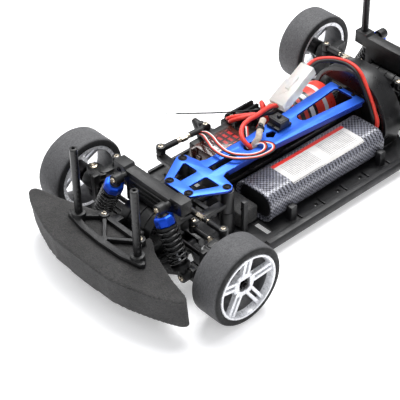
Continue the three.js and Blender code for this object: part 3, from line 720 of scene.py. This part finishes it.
# ------------------------------------------------------------------ chassis
def build_bumper():
    """The foam bumper: a knife-cut block, softened at its edges, with its front raked under."""
    foam = bpy.data.objects.new("bumper_pad", NODES["bumper_foam"].data.copy())
    bpy.context.scene.collection.objects.link(foam)
    pick(foam, "FACE", lambda at, normal: True)
    bpy.ops.mesh.customdata_custom_splitnormals_clear()
    bpy.ops.mesh.remove_doubles(threshold=1e-6)
    bpy.ops.mesh.dissolve_limited(angle_limit=math.radians(1))
    put_down()
    add_modifier(foam, "BEVEL", width=0.7 * MM, segments=2, limit_method="ANGLE",
                 angle_limit=math.radians(50))
    add_modifier(foam, "REMESH", mode="VOXEL", voxel_size=1.3 * MM)
    add_modifier(foam, "SMOOTH", factor=0.5, iterations=1)
    for point in foam.data.vertices:
        place = point.co / MM
        under = (40 - place.z) / 25
        ahead = max(0.0, min(1.0, (-140 - place.y) / 25))
        swell = noise.noise(place * 0.09) * 0.35 + noise.noise(place * 0.5) * 0.09
        point.co.y += 3.6 * under * ahead * MM
        if 16 < place.z < 39.2:
            point.co += point.normal * (swell - 0.3) * MM
    smooth(foam, 60)
    fit(foam, bumper_eva, "chassis", "bumper_foam")


def pierced_post(name, x, y, low, high, radius=3.0):
    """A body post: a round moulding with a domed top and a row of clip holes through it."""
    post = turned(name, [(radius, low), (radius, high - 1.2), (radius * 0.8, high - 0.3), (radius * 0.45,
                                                                                           high)],
                  (x, y, 0), (0, 0, 1), 24)
    pins = []
    level = low + 8
    while level < high - 4:
        pins.append(turned(name + "_hole", [(1.15, -5), (1.15, 5)], (x, y, level), (1, -0.35, 0), 10))
        level += 4.3
    cutter = joined(name + "_holes", pins)
    add_modifier(post, "BOOLEAN", operation="DIFFERENCE", object=cutter, solver="EXACT")
    bpy.data.objects.remove(cutter)
    smooth(post, 30)
    return fit(post, polished_abs, "chassis")


def build_chassis():
    tray = moulded("chassis_tray", "tray_moulding", 0.35, tray_nylon)
    build_bumper()
    brace = moulded("bumper_brace", "brace_moulding", 0.35, moulded_nylon)
    for side, name in SIDES:
        pierced_post(f"front_post_{name}", side * 33, -153, 44, 104)
        screw(f"brace_screw_{name}", (side * 20, -139.5, 45.4), head=2.2, rise=0.8, material=warm_nickel)
    for end, axle, flip in (("front", FRONT_AXLE, 1), ("rear", REAR_AXLE, -1)):
        box = moulded(f"{end}_gearbox", f"{end}_gearbox_housing", 0.7, polished_abs)
        tower = moulded(f"{end}_shock_tower", f"{end}_tower_moulding", 0.5, moulded_nylon)
        for side, name in SIDES:
            collar = turned(f"{end}_gearbox_collar_{name}", [(6.2, 17.2), (7.6, 17.6), (7.6, 18.8),
                                                             (6.6, 19.6), (5.2, 19.7)],
                            (0, axle, AXLE_Z), (side, 0, 0), 32)
            fit(collar, black_oxide, "chassis")
            for angle in (35, 145, 250):
                across, up = math.cos(math.radians(angle)), math.sin(math.radians(angle))
                screw(f"{end}_gearbox_screw_{name}_{angle}",
                      (side * 16.9, axle - flip * 3 + across * 15, AXLE_Z + up * 15), (side, 0, 0), 1.9, 1.1)
        for rib in (-9, 0, 9):
            band = turned(f"{end}_gearbox_seam_{rib}", [(18.2, -0.8), (18.9, -0.5), (18.9, 0.5), (18.2, 0.8)],
                          (rib, axle - flip * 3, AXLE_Z), (1, 0, 0), 56)
            fit(band, polished_abs, "chassis")
        front_face = axle - flip * 6
        for level in (56.5, 60.5, 64.5):
            strip = block(f"{end}_tower_rib_{level:.0f}", (-19, front_face - 0.9, level - 0.7),
                          (19, front_face + 0.9, level + 0.7), 0.3)
            fit(strip, moulded_nylon, "chassis")
        for side, name in SIDES:
            bolt = (side * SHOCK_TOP.x, axle + flip * SHOCK_TOP.y - flip * 3.4, SHOCK_TOP.z)
            screw(f"{end}_shock_bolt_{name}", bolt, (0, -flip, 0), 2.5, 1.5, warm_nickel)
            screw(f"{end}_tower_screw_{name}", (side * 31.5, axle - flip * 5.8, 66.5), (0, -flip, 0), 2.3,
                  1.0)
            screw(f"{end}_camber_bolt_{name}", (side * CAMBER_INNER[0], axle + flip * CAMBER_INNER[1],
                                                53.2), (0, 0, 1), 2.3, 1.2, warm_nickel)
    for side, name in SIDES:
        pierced_post(f"rear_post_{name}", side * 31, 150, 72, 108)
    cover = moulded("gear_cover", "gear_cover_moulding", 0.6, polished_abs)
    for side, name in SIDES:
        post = turned(f"bellcrank_post_{name}", [(5.6, 9), (5.6, 27.6), (5.0, 29.4), (3.0, 29.6)],
                      (side * BELL_X, BELL_Y, 0),
                      (0, 0, 1), 32)
        fit(post, moulded_nylon, "chassis")
    for y in (-12, 13, 38, 63, 88):
        rib = block(f"tray_rib_{y}", (44.4, y + 5, 8.8), (52.5, y + 6.2, 10.2), 0.3)
        fit(rib, tray_nylon, "chassis")
    pin = turned("strap_post_pin", [(0.9, -3.2), (0.9, 3.2)], (35.2, -51.5, 34), (0, 1, 0), 12)
    fit(pin, black_oxide, "chassis")


def build_deck():
    """The blue top deck and its four front and two rear screws."""
    deck = moulded("top_deck", "deck_plate", 0.3, deck_blue)
    for side, name in SIDES:
        for x, y, row in ((10.5, -84.5, "nose"), (BELL_X, BELL_Y, "wing")):
            screw(f"deck_screw_{row}_{name}", (side * x, y, DECK_TOP), head=3.0, rise=1.5)
            washer = turned(f"deck_washer_{row}_{name}", [(3.5, 0.0), (3.5, 0.35), (3.0, 0.5)],
                            (side * x, y, DECK_TOP - 0.1), (0, 0, 1), 24)
            fit(washer, black_oxide, "chassis")
        screw(f"deck_screw_tail_{name}", (side * 7, 96, DECK_TOP), head=1.7, rise=0.9)
    ring = turned("bearing_ring", [(3.6, -1.2), (4.6, -1.2), (4.6, 1.2), (3.6, 1.2), (3.6, -1.2)],
                  (0, -41, 27),
                  (0, 1, 0), 24, ring=True)
    fit(ring, green_ring, "chassis")


# ------------------------------------------------------------------ wheels
WHEEL_X = {"left": 1, "right": -1}
SPOKE_START = 14.5      # degrees from level to the first pair of spokes
SPOKES = 5


def build_tyre(body, axle):
    profile = [(26.4, 74.4), (27.6, 74.2), (29.6, 74.3), (31.0, 74.9), (31.8, 76.0), (32, 77.4), (32, 86.8),
               (32, 96.2), (31.8, 97.6), (31.1, 98.7), (29.8, 99.35), (28.2, 99.6), (26.9, 99.5),
               (26.3, 99.0),
               (26.3, 86), (26.4, 74.4)]
    return turned(f"{body}_tread", profile, (0, axle, AXLE_Z), (1, 0, 0), 112, ring=True, angle=40)


def build_rim(name, axle):
    """A five twin-spoke rim: flanged barrel, slotted spoke pairs and a square-mouthed hub."""
    centre = (0, axle, AXLE_Z)
    barrel = turned(name, [(26.1, 75.2), (26.3, 99.2), (26.0, 99.8), (25.3, 100), (24.5, 99.8), (24.1, 99.2),
                           (23.7, 96.5), (22.9, 94.5), (22.5, 90), (22.7, 76), (23.2, 75.2), (26.1, 75.2)],
                    centre, (1, 0, 0), 80, ring=True)
    pieces = [barrel]
    for side in (-1, 1):
        bar = block(name + "_bar", (92.2, axle + 7.4, AXLE_Z + side * 2.45 - 1.15),
                    (95.9, axle + 24.4, AXLE_Z + side * 2.45 + 1.15), 0.35)
        pick(bar, "FACE", lambda at, normal: normal.y > 0.9 or at.y - axle > 23.5)
        bpy.ops.transform.translate(value=(2.7 * MM, 0, 0))
        bpy.ops.transform.resize(value=(1, 1, 1.25), center_override=Vector((96, axle + 24,
                                                                             AXLE_Z + side * 2.9)) * MM)
        put_down()
        for number in range(SPOKES):
            turn = ((1, 0, 0), centre, SPOKE_START + 360 / SPOKES * number)
            pieces.append(copied(bar, f"{name}_bar_{number}", spin=turn))
        bpy.data.objects.remove(bar)
    for number in range(SPOKES):
        web = block(name + "_web", (91.6, axle + 5.5, AXLE_Z - 3.6), (95.8, axle + 10.0, AXLE_Z + 3.6), 0.5)
        pieces.append(copied(web, f"{name}_web_{number}", spin=((1, 0, 0), centre,
                                                                SPOKE_START + 360 / SPOKES * number)))
        bpy.data.objects.remove(web)
    hub = turned(name + "_hub", [(9.8, 90.5), (9.8, 94.8), (9.1, 95.4), (8.2, 95.5)], centre, (1, 0, 0), 40)
    mouth = block(name + "_mouth", (92.4, axle - 5, AXLE_Z - 5), (97, axle + 5, AXLE_Z + 5))
    add_modifier(hub, "BOOLEAN", operation="DIFFERENCE", object=mouth, solver="EXACT")
    bpy.data.objects.remove(mouth)
    smooth(hub, 30)
    pieces.append(hub)
    return joined(name, pieces)


def build_wheels():
    """Each axle's tyre, rim, drive hexagon, wheel nut and axle rod, copied to the left and the right."""
    for end, axle in (("front", FRONT_AXLE), ("rear", REAR_AXLE)):
        rubber = tyre_rubber(axle)
        tyre = build_tyre(end, axle)
        rim = build_rim(f"{end}_left_rim_casting", axle)
        socket = block(f"{end}_left_wheel_hexagon", (92.2, axle - 4.9, AXLE_Z - 4.9), (93.4, axle + 4.9,
                                                                                       AXLE_Z + 4.9), 0.3)
        nut = turned(f"{end}_left_wheel_nut", [(4.3, 92.5), (4.3, 93.2), (3.1, 93.3)], (0, axle, AXLE_Z),
                     (1, 0, 0), 24)
        flats = turned("nut_flats", [(3.4, 93.0), (3.5, 93.4), (3.5, 95.6), (3.1, 96.0)], (0, axle, AXLE_Z),
                       (1, 0, 0), 6,
                       angle=20)
        tip = turned("axle_tip", [(1.9, 95.8), (1.9, 97.0), (1.5, 97.4)], (0, axle, AXLE_Z), (1, 0, 0), 16)
        nut = joined(f"{end}_left_wheel_nut", [nut, flats, tip])
        axle_rod = turned(f"{end}_left_axle", [(2.4, 66.2), (2.4, 79), (6.9, 79.2), (6.9, 90.8)],
                          (0, axle, AXLE_Z),
                          (1, 0, 0), 24)
        for name, sign in WHEEL_X.items():
            body = f"{end}_{name}_wheel"
            parts = ((tyre, "tread", rubber, "tyre"), (rim, "rim_casting", silver_rim, "rim"),
                     (socket, "wheel_hexagon", moulded_nylon, None), (nut, "wheel_nut", black_oxide, None),
                     (axle_rod, "axle", black_oxide, None))
            for shape, part, material, node in parts:
                piece = copied(shape, f"{body}_{part}", flip_x=sign < 0)
                fit(piece, material, body, *([f"{end}_{name}_{node}"] if node else []))
                if shape is rim:
                    # The barrel's inner faces take the painted shade material: dark grey standing in for the
                    # shadow inside the wheel.
                    piece.data.materials.append(barrel_painted_shade)
                    pick(piece, "FACE", lambda at, normal: abs(at.x) < 94.4
                         and 21 < math.hypot(at.y - axle, at.z - AXLE_Z) < 24.5)
                    piece.active_material_index = 1
                    bpy.ops.object.material_slot_assign()
                    put_down()
        for shape in (tyre, rim, socket, nut, axle_rod):
            bpy.data.objects.remove(shape)


# ------------------------------------------------------------------ suspension
def build_shock(prefix, sign, flip, axle):
    """An oil shock: eyelet, faceted blue cap, black body, coil spring, cup, bright shaft and lower eyelet."""
    def there(point):
        return (sign * point[0], axle + flip * point[1], point[2])

    top = Vector(there(SHOCK_TOP))
    run = (Vector(there(SHOCK_LOW)) - top).normalized()
    body, shaft = f"{prefix}_shock_body", f"{prefix}_shock_rod"
    cap = turned(f"{prefix}_shock_cap", [(6.0, 5.0), (7.3, 5.9), (7.7, 7.2), (7.7, 11.9), (7.1, 12.6)], top,
                 run, 8, turn=22,
                 angle=15)
    round_edges(cap, 0.35, 2, 20)
    fit(cap, cap_blue, body)
    eyelet = turned("eyelet", [(4.1, -3.6), (4.3, -3.0), (4.3, 3.2), (4.1, 3.8)], top, (0, flip, 0), 24)
    neck = turned("neck", [(3.3, 1.0), (3.3, 4.0), (4.6, 5.3)], top, run, 20)
    can = turned("can", [(5.7, 12.2), (5.7, 32.2), (5.0, 33), (2.2, 33.1)], top, run, 32)
    collar = turned("collar", [(6.2, 12.7), (7.5, 12.9), (7.5, 14.6), (6.2, 14.8)], top, run, 28)
    fit(joined(f"{prefix}_shock_can", [eyelet, neck, can, collar]), moulded_nylon, body,
        f"{prefix}_shock_body")
    rod = turned(f"{prefix}_shock_shaft", [(1.45, 27), (1.45, 47)], top, run, 16)
    fit(rod, bright_steel, shaft, f"{prefix}_shock_rod")
    cup = turned("cup", [(3.4, 42.8), (7.2, 43.4), (7.5, 44.4), (7.4, 46.3), (3.4, 46.8), (3.2, 50.5)], top,
                 run, 28)
    low = Vector(there(SHOCK_LOW))
    foot = turned("foot", [(3.9, -3.4), (4.2, -2.8), (4.2, 3.2), (3.9, 3.9)], low, (0, flip, 0), 24)
    fit(joined(f"{prefix}_shock_foot", [cup, foot]), moulded_nylon, shaft)
    screw(f"{prefix}_shock_foot_bolt", low + Vector((0, -flip * 3.2, 0)), (0, -flip, 0), 2.3, 1.2,
          warm_nickel, shaft)

    let_go()
    bpy.ops.mesh.primitive_circle_add(vertices=10, radius=1.0 * MM, location=(6.9 * MM, 0, 0),
                                      rotation=(math.radians(90), 0, 0))
    spring = take(f"{prefix}_spring")
    add_modifier(spring, "SCREW", angle=math.radians(360 * 7), screw_offset=27.2 * MM, steps=24 * 7,
                 render_steps=24 * 7,
                 use_merge_vertices=True, axis="Z")
    pick(spring, "EDGE", lambda at, way: True)
    bpy.ops.mesh.remove_doubles(threshold=1e-6)
    bpy.ops.mesh.fill_holes(sides=0)
    bpy.ops.mesh.select_all(action="SELECT")
    bpy.ops.mesh.normals_make_consistent(inside=False)
    put_down()
    lean = run.to_track_quat("Z", "Y").to_matrix().to_4x4()
    spring.data.transform(Matrix.Translation((top + run * 15.4) * MM) @ lean)
    smooth(spring, 80)
    spring.data.materials.clear()
    spring.data.materials.append(enamelled_spring)
    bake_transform(spring)


def build_corner(end, name):
    """The moulded links of one corner, with their pins, ball studs and drive shaft."""
    prefix = f"{end}_{name}"
    sign = WHEEL_X[name]
    axle = FRONT_AXLE if end == "front" else REAR_AXLE
    flip = 1 if end == "front" else -1

    def there(x, y, z):
        return (sign * x, axle + flip * y, z)

    carried = ("carrier", "knuckle") if end == "front" else ("upright",)
    for part in ("arm", *carried, "camber_link"):
        piece = moulded(f"{prefix}_{part}", f"{prefix}_{part}_moulding", 0.35, moulded_nylon)
    turnbuckle(f"{prefix}_camber_turnbuckle", there(*CAMBER_INNER), there(*CAMBER_OUTER),
               f"{prefix}_camber_link", at=0.37)
    for (x, y, z), part in ((CAMBER_INNER, "inner"), (CAMBER_OUTER, "outer")):
        ball_stud(f"{prefix}_camber_ball_{part}", there(x, y, z), (0, 0, -1), f"{prefix}_camber_link", 2.5,
                  3.2)
        screw(f"{prefix}_camber_cap_{part}", there(x, y, z + 3.1), (0, 0, 1), 2.0, 0.8, warm_nickel,
              f"{prefix}_camber_link")
    body = f"{prefix}_arm"
    for x, half, holder in ((22, 25.6, "chassis"), (60, 10.2, body)):
        pin = rod_between(f"{prefix}_hinge_pin_{x}", there(x, -half, HINGE_Z), there(x, half, HINGE_Z),
                          [(1.5, 0), (1.5, 1)], 14)
        fit(pin, bright_steel, holder)
    carrier = f"{prefix}_{carried[0]}"
    for level, way in ((45, 1), (19.6, -1)):
        if end == "front":
            screw(f"{prefix}_kingpin_{level:.0f}", there(70, 0, level), (0, 0, way), 3.2, 1.4, warm_nickel,
                  carrier)
    for y in (-6.6, 6.6):
        screw(f"{prefix}_hub_screw_{y:.0f}", there(62.4 if end == "front" else 63.9, y, 40), (sign, 0, 0),
              1.5, 0.7,
              warm_nickel, carrier)
    shaft = rod_between(f"{prefix}_drive_shaft", there(19, 0, AXLE_Z), there(63.3, 0, AXLE_Z),
                        [(2.0, 0), (2.9, 0.03), (2.9, 0.07), (1.9, 0.11), (1.9, 0.9), (2.9, 0.93),
                         (2.9, 0.97), (2.0, 1.0)],
                        18)
    shaft.data.materials.clear()
    shaft.data.materials.append(black_oxide)
    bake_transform(shaft)
    for y in (-2.2, 2.2):
        rib = block(f"{prefix}_arm_rib_{y:.0f}", (0, 0, 0), (12.5, 0.9, 1.6), 0.25)
        rib.data.transform(Matrix.Translation(Vector(there(39.5, y, 16.0)) * MM
                                              - Vector((12.5 if sign < 0 else 0, 0.45, 0)) * MM))
        fit(rib, moulded_nylon, body)
    build_shock(prefix, sign, flip, axle)


def build_steering():
    for node in ("bellcrank_left", "bellcrank_right", "drag_link", "tie_rod_left", "tie_rod_right",
                 "servo_horn",
                 "servo_link"):
        piece = moulded(node, node + "_moulding", 0.35, moulded_nylon)
    for name, sign in WHEEL_X.items():
        inner, outer = (sign * BELL_X, TIE_Y, TIE_Z), (sign * KNUCKLE_X, TIE_Y, TIE_Z)
        turnbuckle(f"tie_turnbuckle_{name}", inner, outer, f"tie_rod_{name}")
        ball_stud(f"tie_ball_{name}", (sign * BELL_X, TIE_Y, 33.2), (0, 0, 1), f"bellcrank_{name}", 1.9, 2.8)
        screw(f"bellcrank_cap_{name}", (sign * BELL_X, TIE_Y, 39.1), (0, 0, 1), 2.2, 0.9, warm_nickel,
              f"bellcrank_{name}")
        ball_stud(f"knuckle_ball_{name}", (sign * KNUCKLE_X, TIE_Y, 31.0), (0, 0, -1),
                  f"front_{name}_knuckle", 1.9, 3.6)
        screw(f"drag_bolt_{name}", (sign * BELL_X, -73, 35.4), (0, 0, -1), 2.0, 0.7, warm_nickel, "drag_link")
    turnbuckle("servo_turnbuckle", HORN_BALL, SERVO_BALL, "servo_link", 1.75, 2.9, 0.12, 0.2)
    ball_stud("servo_ball", SERVO_BALL, (0, 0, -1), "bellcrank_right", 2.5, 4.8)
    screw("servo_ball_cap", (-51.5, -57.5, 47.4), (0, 0, 1), 2.1, 0.7, warm_nickel, "bellcrank_right")
    screw("horn_ball_cap", (-46.6, -15, 50.2), (0, 0, 1), 2.1, 0.8, warm_nickel, "servo_link")
    screw("saver_screw", (-66.3, -10, 41.9), (-10, -1, 7), 1.7, 0.6, warm_nickel, "servo_horn")
    collar = turned("saver_collar", [(6.7, -56), (7.0, -55.4), (7.0, -54.4), (6.7, -54)], HORN_AXIS,
                    (1, 0, 0), 32)
    fit(collar, moulded_nylon, "servo_horn")


# ------------------------------------------------------------------ drive line
SPUR_TEETH = 66
PINION_TEETH = 19


def toothed(name, radius, low, high, axis, teeth, depth):
    """A gear blank between two places along the car, with every other facet pulled out into a tooth."""
    gear = turned(name, [(radius, low), (radius, high)], axis, (0, 1, 0), teeth * 2)

    def is_tooth(at, normal):
        angle = math.atan2(at.z - axis[2], at.x - axis[0]) % (2 * math.pi)
        return abs(normal.y) < 0.3 and round(angle / (math.pi / teeth) - 0.5) % 2 == 0

    pick(gear, "FACE", is_tooth)
    bpy.ops.mesh.extrude_faces_move(TRANSFORM_OT_shrink_fatten={"value": depth * MM})
    put_down()
    return gear


def build_drive():
    """Motor can and end bell, toothed spur and pinion, and the long centre shaft."""
    can = turned("motor_can", [(16.6, 55.2), (17.7, 55.5), (18, 56.2), (18, 95.4), (17.6, 96.6),
                               (16.4, 97)], MOTOR_AXIS,
                 (0, 1, 0), 72)
    fit(can, motor_enamel(), "chassis", "motor")
    bell = turned("bell", [(5, 42.6), (5.2, 46), (14, 46.2), (16.6, 47.4), (17.2, 49), (17.2, 55.4)],
                  MOTOR_AXIS,
                  (0, 1, 0), 56)
    brushes = [block("brush", (-28 + x - 3.4, 46.8, 29 + z - 2.6), (-28 + x + 3.4, 53.5, 29 + z + 2.6), 0.5)
               for x, z in ((-13.2, 6), (13.2, 6))]
    fit(joined("motor_end_bell", [bell, *brushes]), moulded_nylon, "chassis")
    for x, z in ((0, 14.2), (-13.2, 9.4), (13.2, 9.4)):
        tab = block(f"motor_tab_{x:.0f}", (-28 + x - 1.6, 47.5, 29 + z - 0.3), (-28 + x + 1.6, 52.5,
                                                                                29 + z + 1.6), 0.25)
        fit(tab, warm_nickel, "chassis")
    gear = toothed("spur_gear", 19.6, 106.1, 109.9, SHAFT_AXIS, SPUR_TEETH, 1.25)
    hub = turned("hub", [(9, 105.0), (9, 111), (7, 111.6)], SHAFT_AXIS, (0, 1, 0), 32)
    gear = joined("spur_gear", [gear, hub])
    smooth(gear, 20)
    fit(gear, moulded_nylon, "centre_shaft", "centre_shaft")
    shaft = turned("long_shaft", [(2.2, -79.6), (2.2, 119.6)], SHAFT_AXIS, (0, 1, 0), 24)
    cups = [turned("cup", [(3.9, y), (3.9, y + 6)], SHAFT_AXIS, (0, 1, 0), 24) for y in (-78, 112)]
    fit(joined("long_shaft", [shaft, *cups]), black_oxide, "centre_shaft")
    pinion = toothed("pinion_gear", 5.8, 105.6, 110.4, MOTOR_AXIS, PINION_TEETH, 1.0)
    boss = turned("boss", [(3.2, 110), (3.2, 114.6), (2.8, 115)], MOTOR_AXIS, (0, 1, 0), 24)
    pinion = joined("pinion_gear", [pinion, boss])
    smooth(pinion, 20)
    fit(pinion, bright_steel, "pinion", "pinion")


# ------------------------------------------------------------------ electronics
def round_long_edges(piece, radius, segments):
    """Rounds the edges that run along the car."""
    pick(piece, "EDGE", lambda at, way: abs(way.y) > 0.9)
    bpy.ops.mesh.bevel(offset=radius * MM, segments=segments, affect="EDGES")
    put_down()


def build_battery():
    """A stick pack in printed shrink film, open at its front end, with a paper label, and its foam block."""
    pack = block("battery_sleeve", (5.2, -31.8, 9.6), (44.1, 94.8, 35.9))
    round_long_edges(pack, 10.3, 8)
    pick(pack, "FACE", lambda at, normal: normal.y < -0.9)
    bpy.ops.mesh.inset(thickness=2.0 * MM)
    bpy.ops.mesh.extrude_region_move(TRANSFORM_OT_translate={"value": (0, 2.6 * MM, 0)})
    put_down()
    pick(pack, "EDGE", lambda at, way: at.y > 94.7 or at.y < -31.7)
    bpy.ops.mesh.bevel(offset=1.1 * MM, segments=3, affect="EDGES")
    put_down()
    pick(pack, "EDGE", lambda at, way: abs(way.y) > 0.98)
    bpy.ops.mesh.subdivide(number_cuts=30)
    put_down()
    for point in pack.data.vertices:
        place = point.co / MM
        if -29 < place.y < 93:
            gather = noise.noise(Vector((place.x * 0.12, place.y * 0.05, place.z * 0.12)))
            point.co += point.normal * (gather * 0.35 - 0.35) * MM
    smooth(pack, 40)
    fit(pack, woven_wrap(), "chassis", "battery_pack")
    end = block("battery_end", (9, -29.6, 13), (40, -29.0, 32.4))
    round_long_edges(end, 8, 6)
    fit(end, black_silicone, "chassis")
    let_go()
    bpy.ops.mesh.primitive_grid_add(x_subdivisions=14, y_subdivisions=40, size=1, location=(27.2 * MM,
                                                                                            35.5 * MM,
                                                                                            0.0385))
    bpy.context.active_object.scale = (25.4 * MM, 79 * MM, 1)
    label = take("battery_label")
    add_modifier(label, "SHRINKWRAP", target=pack, wrap_method="PROJECT", use_project_z=True,
                 use_negative_direction=True, use_positive_direction=False, offset=0.1 * MM)
    add_modifier(label, "SOLIDIFY", thickness=0.15 * MM, offset=-1)
    smooth(label, 50)
    fit(label, printed_label(), "chassis")
    pad = block("battery_pad", (-8.7, -50.7, 9.6), (30.7, -32.7, 24.0), 0.9, 3)
    add_modifier(pad, "REMESH", mode="VOXEL", voxel_size=1.1 * MM)
    for point in pad.data.vertices:
        point.co += point.normal * (noise.noise(point.co / MM * 0.3) * 0.22 - 0.1) * MM
    smooth(pad, 60)
    fit(pad, battery_eva, "chassis", "battery_foam")
    plug = moulded("battery_plug", "battery_connector", 0.5, milky_nylon)


def build_electronics():
    servo = moulded("servo", "servo_case", 0.5, smoky_case())
    lid = block("servo_top_case", (-43.8, -35.4, 23.8), (-37.6, 3.4, 44.2), 0.8, 3)
    fit(lid, moulded_nylon, "chassis")
    gear_boss = turned("servo_gear_boss", [(6.6, -49.2), (7.2, -48.2), (7.6, -44.2)], HORN_AXIS, (1, 0, 0),
                       36)
    fit(gear_boss, moulded_nylon, "chassis")
    bottom = block("servo_bottom_case", (-17.5, -35.2, 23.8), (-11.9, 3.2, 44.15), 0.7, 3)
    fit(bottom, moulded_nylon, "chassis")
    sticker = block("servo_sticker", (-35.4, -30, 43.9), (-18.4, -1, 44.25), 0.12)
    fit(sticker, servo_print(), "chassis")
    for y in (-37.3, 4.5):
        for z in (29, 39):
            screw(f"servo_ear_screw_{y:.0f}_{z}", (-38, y, z), (-1, 0, 0), 1.9, 1.0)
    boot = block("servo_wire_boot", (-43.5, -25.2, 43.8), (-40.5, -22.8, 45.6), 0.5, 3)
    fit(boot, black_silicone, "chassis")

    box = moulded("esc", "controller_case", 0.5, moulded_nylon)
    for i in range(4):
        fin = block(f"controller_fin_{i}", (-50 + i * 6, 9, 44.9), (-48 + i * 6, 38, 46.1), 0.3)
        fit(fin, black_oxide, "chassis")
    fan = turned("controller_fan", [(7.4, 40.9), (8.2, 41.2), (8.2, 44.6), (7.4, 45), (6.8, 44.8),
                                    (6.6, 42.2)],
                 (-33, 30, 0), (0, 0, 1), 40)
    fit(fan, moulded_nylon, "chassis")
    screw("controller_screw", (-45, 11.5, 45.9), (0, 0, 1), 1.7, 0.5, warm_nickel)
    for x, y in ((-49.5, 7.4), (-24.5, 7.4), (-24.5, 39.6)):
        screw(f"controller_corner_{-x:.0f}_{y:.0f}", (x, y, 41), (0, 0, 1), 1.6, 0.5)

    switch = moulded("power_switch", "switch_case", 0.5, moulded_nylon)
    frame_lip = block("switch_frame", (-9.4, 19.6, 58.7), (1.4, 27.6, 59.5), 0.3)
    fit(frame_lip, moulded_nylon, "chassis")
    moulded("switch_slider", "switch_button", 0.25, moulded_nylon)
    for y in (17.3, 29.7):
        screw(f"switch_screw_{y:.0f}", (-4, y, 54.2), (0, 0, 1), 1.5, 0.7)

    bundle_run = [(-9, 11, 60.5), (-6.5, 7, 60.6), (-3.5, 3, 60), (-0.5, -1.5, 58.8), (2, -5, 57),
                  (1.5, -8, 53.5), (0.8, -9.6, 47)]
    wire_cord("wire_bundle", bundle_run, 2.6, harness_tape)
    tie = turned("zip_tie", [(2.7, -1.1), (3.3, -1.1), (3.3, 1.1), (2.7, 1.1), (2.7, -1.1)],
                 (-2.6, 1.7, 59.6),
                 (0.6, -0.75, -0.24), 20, ring=True)
    head = block("tie_head", (-4.6, 1.2, 62.0), (-1.2, 3.6, 64.4), 0.4)
    fit(joined("zip_tie", [tie, head]), moulded_nylon, "chassis")


# ------------------------------------------------------------------ the bench it stands on
def set_stage():
    let_go()
    bpy.ops.mesh.primitive_plane_add(size=30, location=(0, 0, -0.0003))
    floor = take("studio_floor")
    floor.data.materials.append(studio_floor())
    world = bpy.data.worlds.new("studio")
    bpy.context.scene.world = world
    world.use_nodes = True
    world.node_tree.nodes["Background"].inputs["Color"].default_value = paint("#F4F5F8")
    world.node_tree.nodes["Background"].inputs["Strength"].default_value = 0.5
    for name, place, size, power in (("overhead_softbox", (-0.35, 0.5, 1.5), 1.2, 36), ("front_fill",
                                                                                        (1.6, -0.2, 1.2),
                                                                                        1.0, 5),
                                     ("rim_strip", (-1.4, -0.3, 0.8), 0.9, 8)):
        data = bpy.data.lights.new(name, "AREA")
        data.size = size
        data.energy = power
        light = bpy.data.objects.new(name, data)
        bpy.context.scene.collection.objects.link(light)
        light.location = place
        light.rotation_euler = (Vector((0, 0, 0)) - Vector(place)).to_track_quat("-Z", "Y").to_euler()
    bpy.context.scene.view_settings.view_transform = "Standard"


# ------------------------------------------------------------------ the whole car
set_camera()
lay_wires()
build_chassis()
build_deck()
build_wheels()
for car_end in ("front", "rear"):
    for car_side in ("left", "right"):
        build_corner(car_end, car_side)
build_steering()
build_drive()
build_battery()
build_electronics()
set_stage()
